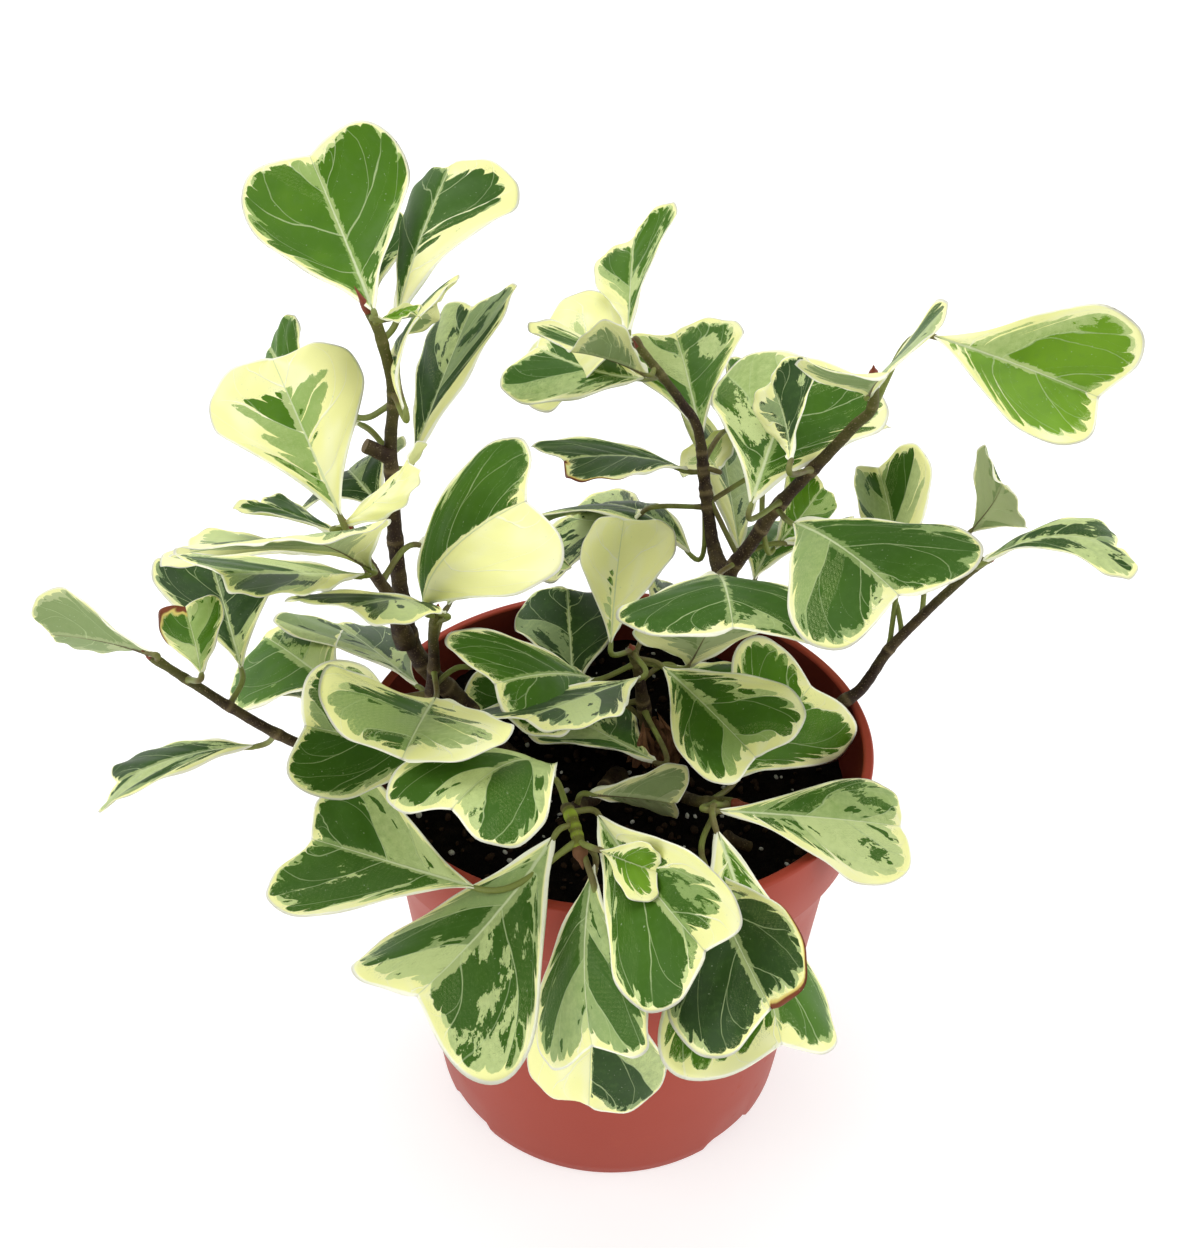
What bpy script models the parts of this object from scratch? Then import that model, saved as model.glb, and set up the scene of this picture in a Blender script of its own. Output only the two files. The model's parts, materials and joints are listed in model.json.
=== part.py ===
"""A potted variegated triangle fig: a plastic pot of soil, stems, boughs and masses of leaves.

Metres, +Z up. The origin is the centre of the pot's flat underside, and the plant faces -Y.
Way points and leaf bases are written in millimetres, angles in degrees.
"""
import math
import random

import bmesh
import bpy
from mathutils import Matrix, Vector

MM = 0.001
GAP = 0.0003

POT_HEIGHT = 0.133
POT_FOOT_RADIUS = 0.059
POT_RIM_RADIUS = 0.075
POT_BODY_TOP_RADIUS = 0.0705
POT_FLOOR = 0.0048
WALL = 0.0018
BAND_HEIGHT = 0.022
BAND_FOOT_RADIUS = 0.0733
RIM_FLAT = 0.003
RIM_ROUND = 0.0006
SOIL_TOP = 0.118
NOTCH_HEIGHT = 0.0033
NOTCH_DEPTH = 0.004
NOTCH_WIDTH = 0.019
NOTCH_COUNT = 4
NOTCH_TURN = 42
TURNED_STEPS = 48

SPAN_STEPS = 4
STEM_SIDES_LEVEL = 1
STALK_SIDES_LEVEL = 0
STALK_RADIUS = 0.0007
ROOT_FLARE = 1.5
FLARE_HEIGHT = 0.012
SUNK = 0.004

BLADE_THICKNESS = 0.0007
BLADE_ROWS = 6
BLADE_NOTCH = 0.92
BLADE_HALF = [(0, 0), (0.22, 0.22), (0.50, 0.62), (0.76, 0.97), (0.95, 0.90), (1.0, 0.52), (BLADE_NOTCH, 0)]
STALK_REACH = 0.22
STALK_BEND = 0.4
STALK_KNEE = 0.7
MIDRIB_PACE = 1.2
ALMOST_FLAT = 1e-6
WELD = 1e-6

# A habit bends a blade: how far its tip curls down along the midrib, how far its halves fold up
# at the midrib, and how much further they lift towards the edge.
HABITS = {
    "flat": (5, 0, 0),
    "arched": (35, 0, 0),
    "hooked": (80, 5, -10),
    "raised": (-30, -5, -15),
    "cupped": (20, 15, 15),
    "domed": (20, -15, -15),
    "folded": (0, 30, 0),
}


def leaf(at, base, heading, rise, roll, length, width, habit):
    """One leaf: where its stalk leaves the stem (0 to 1), where its blade starts, and its blade."""
    return {
        "at": at, "base": Vector(base) * MM, "heading": heading, "rise": rise, "roll": roll,
        "length": length * MM, "width": width * MM, "habit": habit,
    }


# Each path runs from the soil or the parent limb to the tip, through the way points that the
# stem is seen to pass. "radius" is at its two ends, "limb_end" is the share of its length where
# the bare limb ends and its mass of leaves begins, and "parent" is the limb that it grows from.
# "rear" holds the leaves on the far side, each as the way it points, in degrees, and its seed.
PLANT = {
    "left": {
        "limb": "left_trunk", "mass": "left_crown_leaves", "parent": None,
        "radius": (3.0, 1.2), "limb_end": 0.5,
        "way": [(-33, 0, 118), (-45, -2, 141), (-54, -4, 154), (-58, -5, 167), (-59, -6, 190),
                (-58, -6, 222), (-56, -6, 237), (-58, -6, 252), (-60, -6, 257)],
        "leaves": [
            leaf(0.98, (-58, -10, 258), 120, 35, -25, 54, 46, "raised"),
            leaf(0.95, (-55, 0, 253), 75, 35, -10, 53, 38, "domed"),
            leaf(0.86, (-51, -18, 237), 80, 25, -55, 42, 24, "hooked"),
            leaf(0.84, (-71, 4, 228), 131, 10, -55, 42, 22, "hooked"),
            leaf(0.72, (-54, -1, 216), 75, 30, -30, 58, 36, "flat"),
            leaf(0.58, (-62, 2, 198), 115, -10, -25, 49, 39, "hooked"),
        ],
        "rear": ((105, 3966), (130, 5160)),
    },
    "left_mid": {
        "limb": "left_mid_bough", "mass": "left_mid_leaves", "parent": "left",
        "radius": (2.0, 1.2), "limb_end": 0.36,
        "way": [(-59, -8, 168), (-60, -13, 182), (-62, -20, 194), (-64, -27, 206), (-65, -29, 212)],
        "leaves": [
            leaf(0.92, (-65, -34, 217), 126, 42, -18, 47, 45, "domed"),
            leaf(0.98, (-67, -33, 214), 350, 45, 20, 30, 18, "raised"),
            leaf(0.63, (-68, -13, 200), 160, 10, 20, 31, 22, "flat"),
            leaf(0.74, (-68, -21, 201), 180, 0, 15, 43, 33, "flat"),
            leaf(0.84, (-59, -34, 203), 255, 35, 15, 54, 46, "arched"),
            leaf(0.68, (-62, -29, 199), 235, 25, 0, 48, 34, "flat"),
        ],
        "rear": ((35, 2105), (135, 5944), (150, 7674)),
    },
    "far_left": {
        "limb": "far_left_bough", "mass": "far_left_leaves", "parent": "low_left",
        "radius": (1.8, 1.1), "limb_end": 0.30,
        "way": [(-55, -18, 128), (-70, -26, 138), (-86, -28, 145), (-100, -30, 157), (-109, -32, 167),
                (-118, -33, 176)],
        "leaves": [
            leaf(0.98, (-116, -35, 178), 156, -8, 80, 42, 24, "cupped"),
            leaf(0.87, (-104, -38, 174), 115, 25, -15, 24, 19, "raised"),
            leaf(0.71, (-101, -19, 162), 115, 15, 10, 47, 35, "flat"),
            leaf(0.53, (-98, -26, 142), 192, -13, 10, 43, 30, "arched"),
        ],
        "rear": ((125, 3587),),
    },
    "low_left": {
        "limb": "left_second_stem", "mass": "left_low_leaves", "parent": None,
        "radius": (2.4, 1.2), "limb_end": 0.30,
        "way": [(-53, -17, 118), (-53, -14, 136), (-52, -12, 148), (-50, -13, 162), (-49, -16, 174),
                (-47, -19, 183)],
        "leaves": [
            leaf(0.50, (-76, -12, 150), 130, -10, -20, 60, 48, "domed"),
            leaf(0.40, (-57, -1, 145), 130, -5, 25, 56, 47, "flat"),
            leaf(0.36, (-47, -22, 137), 215, 35, -60, 51, 40, "cupped"),
            leaf(0.64, (-48, -25, 159), 270, 20, -15, 55, 52, "cupped"),
            leaf(0.97, (-49, -23, 185), 340, 50, 50, 57, 42, "hooked"),
            leaf(0.92, (-44, -23, 184), 245, 30, 5, 47, 38, "arched"),
        ],
        "rear": ((45, 5661), (60, 1442)),
    },
    "centre": {
        "limb": "centre_stem", "mass": "centre_leaves", "parent": None,
        "radius": (2.4, 1.3), "limb_end": 0.15,
        "way": [(11, 6, 118), (8, 8, 135), (6, 8, 147), (4, 7, 155)],
        "leaves": [
            leaf(0.84, (-7, 2, 147), 230, 25, -18, 48, 45, "arched"),
            leaf(0.96, (7, -6, 154), 232, 15, 20, 54, 48, "flat"),
            leaf(0.40, (12, -18, 133), 130, -12, 8, 43, 36, "flat"),
            leaf(0.47, (-13, 11, 133), 95, 10, 0, 55, 42, "domed"),
            leaf(0.97, (-2, 0, 160), 85, 30, -10, 46, 35, "domed"),
            leaf(0.86, (20, 1, 153), 285, 56, -4, 35, 42, "flat"),
            leaf(0.90, (13, 4, 151), 300, 0, 20, 52, 40, "cupped"),
        ],
        "rear": ((0, 2484), (40, 2348), (130, 1497)),
    },
    "right": {
        "limb": "right_trunk", "mass": "right_crown_leaves", "parent": None,
        "radius": (2.9, 1.2), "limb_end": 0.36,
        "way": [(22, 25, 118), (26, 26, 145), (32, 24, 170), (37, 22, 181), (44, 18, 197),
                (55, 12, 216), (60, 9, 225), (63, 6, 231), (61, 1, 242)],
        "leaves": [
            leaf(0.43, (28, 12, 177), 270, 14, 0, 54, 58, "arched"),
            leaf(0.62, (34, 2, 204), 68, 32, 2, 55, 60, "domed"),
            leaf(0.72, (42, -6, 221), 98, 22, -60, 32, 23, "raised"),
            leaf(0.98, (60, 0, 236), 265, 29, 27, 42, 40, "cupped"),
            leaf(0.92, (75, 6, 250), 313, -3, 50, 49, 37, "cupped"),
            leaf(0.60, (46, 5, 198), 290, 8, 22, 60, 48, "arched"),
            leaf(0.54, (44, 22, 180), 51, 25, 50, 30, 23, "domed"),
            leaf(0.39, (41, 34, 162), 68, -5, -15, 54, 43, "arched"),
        ],
        "rear": ((15, 1918), (90, 1672), (95, 965)),
    },
    "back": {
        "limb": "back_bough", "mass": "back_leaves", "parent": "right",
        "radius": (2.1, 1.1), "limb_end": 0.12,
        "way": [(31, 27, 168), (28, 36, 174), (25, 42, 190), (22, 45, 207), (17, 48, 214),
                (12, 50, 220), (4, 53, 229)],
        "leaves": [
            leaf(0.98, (1, 60, 230), 88, 25, -48, 47, 37, "flat"),
            leaf(0.96, (3, 54, 231), 127, -15, -48, 58, 47, "raised"),
            leaf(0.90, (7, 46, 223), 230, 25, 10, 42, 31, "cupped"),
            leaf(0.86, (7, 56, 218), 142, 0, -20, 49, 39, "raised"),
            leaf(0.52, (24, 53, 200), 100, 22, -12, 52, 43, "arched"),
            leaf(0.44, (20, 44, 194), 210, 15, 2, 48, 37, "arched"),
            leaf(0.30, (7, 45, 180), 125, -25, -28, 56, 48, "raised"),
            leaf(0.36, (22, 39, 168), 140, -8, 15, 60, 52, "hooked"),
            leaf(0.36, (36, 36, 171), 95, 18, 45, 60, 48, "flat"),
            leaf(0.46, (29, 42, 195), 103, -3, -35, 27, 22, "raised"),
        ],
        "rear": ((10, 2705), (80, 1255)),
    },
    "low_right": {
        "limb": "right_low_bough", "mass": "right_low_leaves", "parent": None,
        "radius": (2.3, 1.1), "limb_end": 0.50,
        "way": [(30, 4, 118), (48, 8, 124), (60, 10, 129), (68, 11, 134.5), (74, 13, 139), (81, 18, 149),
                (88, 18, 160), (93.5, 14, 172), (99, 9, 184), (101, 6, 188)],
        "leaves": [
            leaf(0.58, (84, 31, 162), 97, 38, -55, 46, 32, "raised"),
            leaf(0.97, (94, 7, 195), 268, 52, -61, 33, 24, "arched"),
            leaf(0.95, (98, 3, 188), 354, 10, -1, 40, 30, "hooked"),
        ],
        "rear": ((80, 780), (85, 132)),
    },
    "front": {
        "limb": "front_stem", "mass": "front_leaves", "parent": None,
        "radius": (2.2, 1.3), "limb_end": 0.42,
        "way": [(0, -8, 118), (-6, -28, 128), (-11, -44, 138), (-12, -50, 144), (-11, -56, 148),
                (-9, -62, 147), (-8, -66, 145)],
        "leaves": [
            leaf(0.80, (-15, -46, 150), 242, 25, 0, 57, 38, "hooked"),
            leaf(0.97, (-32, -73, 138), 158, -3, -20, 53, 41, "flat"),
            leaf(0.90, (-14, -64, 148), 229, -21, 2, 54, 57, "raised"),
            leaf(0.96, (-4, -67, 142), 272, -30, 50, 47, 42, "arched"),
            leaf(0.84, (-4, -56, 148), 300, 0, 50, 55, 40, "cupped"),
            leaf(0.97, (-3, -70, 149), 320, 15, 64, 20, 16, "cupped"),
            leaf(0.93, (-3, -79, 134), 263, -78, 1, 60, 43, "domed"),
            leaf(0.56, (-7, -42, 142), 5, -11, -89, 26, 21, "cupped"),
        ],
        "rear": (),
    },
    "front_right": {
        "limb": "front_right_stem", "mass": "front_right_leaves", "parent": None,
        "radius": (2.2, 1.4), "limb_end": 0.55,
        "way": [(17, -8, 118), (17, -24, 128), (22, -38, 137), (31, -42, 140)],
        "leaves": [
            leaf(0.92, (23, -60, 136), 285, 3, 45, 53, 42, "cupped"),
            leaf(0.97, (25, -60, 148), 288, -30, -12, 57, 56, "domed"),
            leaf(0.90, (25, -54, 148), 11, -14, 34, 57, 33, "domed"),
            leaf(0.86, (33, -30, 138), 51, 18, 39, 42, 48, "raised"),
        ],
        "rear": (),
    },
}

# Leaves on the side away from the front. Lengths are in millimetres and angles in degrees.
REAR_START = 0.06
REAR_END = 0.94
REAR_LENGTH = (40, 54)
REAR_WIDTH = 0.8
REAR_STALK = (9, 15)
REAR_LIFT = 0.35
REAR_FAN = 25
REAR_RISE = (-25, 30)
REAR_ROLL = 25
REAR_HABITS = ("flat", "arched", "raised", "domed")


def material(name, color, roughness):
    made = bpy.data.materials.new(name)
    made.use_nodes = True
    shader = made.node_tree.nodes["Principled BSDF"]
    shader.inputs["Base Color"].default_value = (*color, 1)
    shader.inputs["Roughness"].default_value = roughness
    return made


def add_object(name, mesh, surface, collection):
    made = bpy.data.objects.new(name, mesh)
    mesh.materials.clear()
    mesh.materials.append(surface)
    collection.objects.link(made)
    return made


def evaluated_mesh(source):
    """The object's mesh with its modifiers applied, and the object removed."""
    graph = bpy.context.evaluated_depsgraph_get()
    mesh = bpy.data.meshes.new_from_object(source.evaluated_get(graph))
    bpy.data.objects.remove(source)
    return mesh


def edit(mesh, change):
    shape = bmesh.new()
    shape.from_mesh(mesh)
    change(shape)
    shape.to_mesh(mesh)
    shape.free()


def catmull_rom(a, b, c, d, t):
    return 0.5 * (2 * b + (c - a) * t + (2 * a - 5 * b + 4 * c - d) * t * t + (3 * b - a - 3 * c + d) * t ** 3)


def smooth_path(way):
    """Points along one smooth curve through the way points, in metres."""
    points = [Vector(point) * MM for point in way]
    points = [2 * points[0] - points[1], *points, 2 * points[-1] - points[-2]]
    path = []
    for a, b, c, d in zip(points, points[1:], points[2:], points[3:]):
        path += [catmull_rom(a, b, c, d, step / SPAN_STEPS) for step in range(SPAN_STEPS)]
    return path + [points[-2]]


def path_stations(path):
    """Each point's share of the path's length, and that length."""
    stations = [0]
    for here, there in zip(path, path[1:]):
        stations.append(stations[-1] + (there - here).length)
    return [station / stations[-1] for station in stations], stations[-1]


def point_at(path, share):
    stations, _ = path_stations(path)
    for index in range(1, len(path)):
        if share <= stations[index] or index == len(path) - 1:
            part = (share - stations[index - 1]) / (stations[index] - stations[index - 1])
            return path[index - 1].lerp(path[index], part)


def tube(points, radii, level):
    """A closed tapering tube through the points, as a mesh with welded caps."""
    curve = bpy.data.curves.new("tube", "CURVE")
    curve.dimensions = "3D"
    curve.bevel_depth = 1
    curve.bevel_resolution = level
    curve.use_fill_caps = True
    spline = curve.splines.new("POLY")
    spline.points.add(len(points) - 1)
    for point, place, radius in zip(spline.points, points, radii):
        point.co = (*place, 1)
        point.radius = radius
    source = bpy.data.objects.new("tube", curve)
    bpy.context.scene.collection.objects.link(source)
    mesh = evaluated_mesh(source)
    bpy.data.curves.remove(curve)
    edit(mesh, lambda shape: bmesh.ops.remove_doubles(shape, verts=shape.verts, dist=WELD))
    return mesh


def cut_flat(mesh, place, outward):
    """Cuts away what lies behind a plane, and closes the cut."""
    def cut(shape):
        everything = [*shape.verts, *shape.edges, *shape.faces]
        bmesh.ops.bisect_plane(shape, geom=everything, plane_co=place, plane_no=outward, clear_inner=True)
        rim = [edge for edge in shape.edges if edge.is_boundary]
        bmesh.ops.holes_fill(shape, edges=rim)
        bmesh.ops.recalc_face_normals(shape, faces=shape.faces)
    edit(mesh, cut)


def limb_points(path, radius, start, end):
    """Points and radii of a limb between two shares of its path."""
    stations, length = path_stations(path)
    inside = [share for share in stations if start < share < end]
    shares = [start, *inside, end]
    points = [point_at(path, share) for share in shares]
    radii = []
    for share in shares:
        taper = radius[0] + (radius[1] - radius[0]) * share
        flare = 1 + (ROOT_FLARE - 1) * max(0, 1 - share * length / FLARE_HEIGHT)
        radii.append(taper * flare * MM)
    return points, radii


def limb_mesh(spec, path):
    points, radii = limb_points(path, spec["radius"], 0, spec["limb_end"])
    inward = (points[0] - points[1]).normalized()
    points.insert(0, points[0] + inward * SUNK)
    radii.insert(0, radii[0])
    mesh = tube(points, radii, STEM_SIDES_LEVEL)
    if spec["parent"]:
        parent = PLANT[spec["parent"]]
        place, along, thick = nearest_on_limb(parent, points[1])
        outward = -inward - along * along.dot(-inward)
        outward.normalize()
        cut_flat(mesh, place + outward * (thick + GAP), outward)
    else:
        cut_flat(mesh, Vector((0, 0, SOIL_TOP + GAP)), Vector((0, 0, 1)))
    return mesh


def nearest_on_limb(spec, place):
    """The point on a limb's middle line nearest to a place, its direction and the limb's radius."""
    path = smooth_path(spec["way"])
    points, radii = limb_points(path, spec["radius"], 0, 1)
    nearest = min(range(1, len(points) - 1), key=lambda index: (points[index] - place).length)
    along = (points[nearest + 1] - points[nearest - 1]).normalized()
    foot = points[nearest] + along * along.dot(place - points[nearest])
    return foot, along, radii[nearest]


def half_outline(share):
    """A point on the blade's outline, from its base (0) round to the notch in its tip (1)."""
    knots = [Vector(knot) for knot in BLADE_HALF]
    knots = [2 * knots[0] - knots[1], *knots, 2 * knots[-1] - knots[-2]]
    place = share * (len(knots) - 3)
    index = min(int(place), len(knots) - 4)
    return catmull_rom(*knots[index:index + 4], place - index)


def blade_point(shape, row, across):
    """A point on the blade: row runs along its side veins, across from -1 to 1 edge to edge."""
    side = abs(across)
    edge = half_outline(row)
    along = (1 - side) * BLADE_NOTCH * row ** MIDRIB_PACE + side * edge.x
    sideways = math.copysign(side * edge.y, across)
    arch, fold, cup = (math.radians(angle) for angle in HABITS[shape["habit"]])
    arch = arch or ALMOST_FLAT
    start = -arch / 2
    turn = start + arch * along
    reach = shape["length"] / arch
    lift = fold + cup * abs(sideways)
    half = sideways * shape["width"] / 2
    height = abs(half) * math.sin(lift)
    local = Vector((
        (math.sin(turn) - math.sin(start)) * reach + height * math.sin(turn),
        half * math.cos(lift),
        (math.cos(turn) - math.cos(start)) * reach + height * math.cos(turn),
    ))
    return shape["base"] + blade_turn(shape) @ local


def blade_turn(shape):
    heading, rise, roll = (math.radians(shape[name]) for name in ("heading", "rise", "roll"))
    return Matrix.Rotation(heading, 3, "Z") @ Matrix.Rotation(-rise, 3, "Y") @ Matrix.Rotation(roll, 3, "X")


def blade_mesh(shape):
    """The blade as an open sheet of quads, from a grid whose two end rows close to a point."""
    mesh = bpy.data.meshes.new("blade")

    def grow(sheet):
        bmesh.ops.create_grid(sheet, x_segments=BLADE_ROWS, y_segments=2, size=1)
        for vertex in sheet.verts:
            vertex.co = blade_point(shape, (vertex.co.x + 1) / 2, vertex.co.y)
        bmesh.ops.remove_doubles(sheet, verts=sheet.verts, dist=WELD)
        bmesh.ops.triangulate(sheet, faces=sheet.faces)

    edit(mesh, grow)
    return mesh


def blade_object(shape, surface, collection):
    blade = add_object("blade", blade_mesh(shape), surface, collection)
    solid = blade.modifiers.new("thickness", "SOLIDIFY")
    solid.thickness = BLADE_THICKNESS
    solid.offset = 0
    return add_object("blade", evaluated_mesh(blade), surface, collection)


def stalk_points(shape, root):
    """The leaf's stalk: from inside the stem, out to the blade's base and on under the midrib."""
    inside = blade_point(shape, STALK_REACH, 0)
    towards = (inside - shape["base"]).normalized()
    bend = shape["base"] - towards * (shape["base"] - root).length * STALK_BEND
    return [root, root.lerp(bend, STALK_KNEE), shape["base"], inside]


def rear_leaves(spec, path):
    """Leaves on the side away from the front, each drawn from its own seed."""
    leaves = []
    for toward, seed in spec["rear"]:
        chance = random.Random(seed)
        at = chance.uniform(spec["limb_end"] + REAR_START, REAR_END)
        heading = toward + chance.uniform(-REAR_FAN, REAR_FAN)
        direction = math.radians(heading)
        outward = Vector((math.cos(direction), math.sin(direction), REAR_LIFT))
        base = point_at(path, at) / MM + outward * chance.uniform(*REAR_STALK)
        length = chance.uniform(*REAR_LENGTH)
        rise = chance.uniform(*REAR_RISE)
        roll = chance.uniform(-REAR_ROLL, REAR_ROLL)
        habit = chance.choice(REAR_HABITS)
        leaves.append(leaf(at, base, heading, rise, roll, length, length * REAR_WIDTH, habit))
    return leaves


def keep_largest_body(shape):
    """Drops loose scraps that the union leaves."""
    left = set(shape.verts)
    bodies = []
    while left:
        body = {left.pop()}
        front = list(body)
        while front:
            for edge in front.pop().link_edges:
                for vertex in edge.verts:
                    if vertex in left:
                        left.discard(vertex)
                        body.add(vertex)
                        front.append(vertex)
        bodies.append(body)
    bodies.sort(key=len)
    for body in bodies[:-1]:
        bmesh.ops.delete(shape, geom=list(body), context="VERTS")


def mass_object(spec, surface, collection):
    """One mass of leaves: its stem with the stalks and blades joined to it by one union."""
    path = smooth_path(spec["way"])
    _, length = path_stations(path)
    start = spec["limb_end"] + GAP / length
    points, radii = limb_points(path, spec["radius"], start, 1)
    stem = add_object(spec["mass"], tube(points, radii, STEM_SIDES_LEVEL), surface, collection)
    joined = bpy.data.collections.new("joined")
    bpy.context.scene.collection.children.link(joined)
    for shape in spec["leaves"] + rear_leaves(spec, path):
        stalk = stalk_points(shape, point_at(path, shape["at"]))
        stalk_mesh = tube(stalk, [STALK_RADIUS] * len(stalk), STALK_SIDES_LEVEL)
        add_object("stalk", stalk_mesh, surface, joined)
        blade_object(shape, surface, joined)
    union = stem.modifiers.new("join", "BOOLEAN")
    union.operation = "UNION"
    union.operand_type = "COLLECTION"
    union.collection = joined
    mesh = evaluated_mesh(stem)
    for part in list(joined.objects):
        bpy.data.objects.remove(part)
    bpy.data.collections.remove(joined)
    edit(mesh, keep_largest_body)
    return add_object(spec["mass"], mesh, surface, collection)


def turned(name, profile, surface, collection):
    """A solid of revolution about Z from a profile of (radius, height) points."""
    mesh = bpy.data.meshes.new(name)
    edges = [(index, index + 1) for index in range(len(profile) - 1)]
    mesh.from_pydata([(radius, 0, height) for radius, height in profile], edges, [])
    made = add_object(name, mesh, surface, collection)
    screw = made.modifiers.new("turn", "SCREW")
    screw.steps = TURNED_STEPS
    screw.render_steps = TURNED_STEPS
    screw.use_merge_vertices = True
    screw.merge_threshold = 0.0001
    return made


def body_radius(height):
    """The pot's outer radius under the band, which tapers straight to its foot."""
    return POT_FOOT_RADIUS + (POT_BODY_TOP_RADIUS - POT_FOOT_RADIUS) * height / POT_HEIGHT


def pot_profile():
    band_foot = POT_HEIGHT - BAND_HEIGHT
    inner_top = POT_RIM_RADIUS - RIM_FLAT
    outside = [
        (inner_top, POT_HEIGHT),
        (POT_RIM_RADIUS - RIM_ROUND, POT_HEIGHT),
        (POT_RIM_RADIUS, POT_HEIGHT - RIM_ROUND),
        (BAND_FOOT_RADIUS, band_foot),
        (body_radius(band_foot), band_foot),
        (POT_FOOT_RADIUS, 0),
        (0, 0),
    ]
    inside = [
        (0, POT_FLOOR),
        (body_radius(POT_FLOOR) - WALL, POT_FLOOR),
        (body_radius(band_foot) - WALL, band_foot),
    ]
    return inside + outside


def foot_notches(collection):
    """Cutters for the shallow drainage notches round the foot of the pot."""
    for index in range(NOTCH_COUNT):
        angle = math.radians(NOTCH_TURN + index * 360 / NOTCH_COUNT)
        bpy.ops.mesh.primitive_cube_add(size=1)
        cutter = bpy.context.object
        cutter.name = f"notch_{index}"
        cutter.scale = (2 * NOTCH_DEPTH, NOTCH_WIDTH, 2 * NOTCH_HEIGHT)
        cutter.rotation_euler.z = angle
        cutter.location = (POT_FOOT_RADIUS * math.cos(angle), POT_FOOT_RADIUS * math.sin(angle), 0)
        cutter.hide_render = True
        cutter.display_type = "WIRE"
        for owner in cutter.users_collection:
            owner.objects.unlink(cutter)
        collection.objects.link(cutter)


def pot_object(surface, collection, cutters):
    pot = turned("pot", pot_profile(), surface, collection)
    foot_notches(cutters)
    cut = pot.modifiers.new("notches", "BOOLEAN")
    cut.operation = "DIFFERENCE"
    cut.operand_type = "COLLECTION"
    cut.collection = cutters
    return pot


def soil_object(surface, collection):
    band_foot = POT_HEIGHT - BAND_HEIGHT
    inner_top = POT_RIM_RADIUS - RIM_FLAT
    inner_foot = body_radius(band_foot) - WALL
    share = (SOIL_TOP - band_foot) / BAND_HEIGHT
    edge = inner_foot + (inner_top - inner_foot) * share - GAP
    profile = [
        (0, SOIL_TOP),
        (edge, SOIL_TOP),
        (inner_foot - GAP, band_foot),
        (body_radius(POT_FLOOR) - WALL - GAP, POT_FLOOR + GAP),
        (0, POT_FLOOR + GAP),
    ]
    return turned("soil", profile, surface, collection)


def main():
    for old in list(bpy.data.objects):
        bpy.data.objects.remove(old)
    plant = bpy.data.collections.new("potted_triangle_fig")
    cutters = bpy.data.collections.new("cutters")
    for collection in (plant, cutters):
        bpy.context.scene.collection.children.link(collection)
    plastic = material("plastic", (0.40, 0.075, 0.045), 0.45)
    earth = material("earth", (0.045, 0.028, 0.018), 0.95)
    bark = material("bark", (0.11, 0.075, 0.045), 0.8)
    foliage = material("foliage", (0.24, 0.32, 0.14), 0.45)
    pot_object(plastic, plant, cutters)
    soil_object(earth, plant)
    for spec in PLANT.values():
        add_object(spec["limb"], limb_mesh(spec, smooth_path(spec["way"])), bark, plant)
        mass_object(spec, foliage, plant)


main()
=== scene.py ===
"""The looks of the potted variegated triangle fig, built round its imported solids.

Metres, +Z up, -Y is the photographed side. Way points and leaf bases are in millimetres, angles
in degrees.
"""

import json
import math
import random

import bpy
import numpy as np
from mathutils import Matrix, Vector, noise

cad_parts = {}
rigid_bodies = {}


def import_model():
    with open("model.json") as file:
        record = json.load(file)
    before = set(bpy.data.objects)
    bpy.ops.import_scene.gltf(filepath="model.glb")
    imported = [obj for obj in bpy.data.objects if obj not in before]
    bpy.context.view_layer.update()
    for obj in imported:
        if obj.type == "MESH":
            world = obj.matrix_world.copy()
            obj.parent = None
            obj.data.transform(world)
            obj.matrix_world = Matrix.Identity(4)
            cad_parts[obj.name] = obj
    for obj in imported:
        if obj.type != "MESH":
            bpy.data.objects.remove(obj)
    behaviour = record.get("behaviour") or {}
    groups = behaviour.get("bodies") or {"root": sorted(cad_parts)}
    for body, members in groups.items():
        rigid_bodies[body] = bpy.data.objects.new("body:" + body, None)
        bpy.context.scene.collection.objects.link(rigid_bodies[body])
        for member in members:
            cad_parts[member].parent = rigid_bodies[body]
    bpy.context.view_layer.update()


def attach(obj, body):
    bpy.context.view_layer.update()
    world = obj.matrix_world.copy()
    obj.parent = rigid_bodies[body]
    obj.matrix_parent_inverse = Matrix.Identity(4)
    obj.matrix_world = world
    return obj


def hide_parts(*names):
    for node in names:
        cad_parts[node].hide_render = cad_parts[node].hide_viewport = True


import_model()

MM = 0.001
BODY = "root"

# The photograph's camera, worked out from the pot's rim, band and foot.
CAMERA_PLACE = (0, -0.2763, 0.3468)
CAMERA_HEADING = 1.05
CAMERA_PITCH = -32.95
CAMERA_ROLL = 0.80
CAMERA_LENS = 35.4
CAMERA_SENSOR = 36

# The surround is white at the horizon and dims to SURROUND where a view's rise reaches SKY_FADE.
SURROUND = 0.35
SKY_FADE = 0.35
# Each lamp's angle round the plant, its height over the horizon and its breadth, in degrees, and
# its power.
LAMPS = [
    ("top_lamp", 110, 72, 50, 1.7),
    ("left_lamp", 195, 30, 60, 1.0),
    ("right_lamp", -15, 30, 60, 1.0),
]
FLOOR_HALF = 60
FLOOR_GLOW = 0.60
FLOOR_DROP = 0.0003

POT_HEIGHT = 0.133
POT_FOOT_RADIUS = 0.059
POT_RIM_RADIUS = 0.075
POT_BODY_TOP_RADIUS = 0.0705
POT_FLOOR = 0.0048
WALL = 0.0018
BAND_HEIGHT = 0.022
BAND_FOOT_RADIUS = 0.0733
RIM_FLAT = 0.003
RIM_ROUND = 0.0009
POT_STEPS = 192
BAND_CORNER = 0.0006
BAND_STEP = 0.0008
POT_BODY_ROWS = 6
POT_INNER_ROWS = 3
NOTCH_HEIGHT = 0.0033
NOTCH_DEPTH = 0.004
NOTCH_WIDTH = 0.019
NOTCH_COUNT = 4
NOTCH_TURN = 42
NOTCH_EDGE = 0.0015

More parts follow.
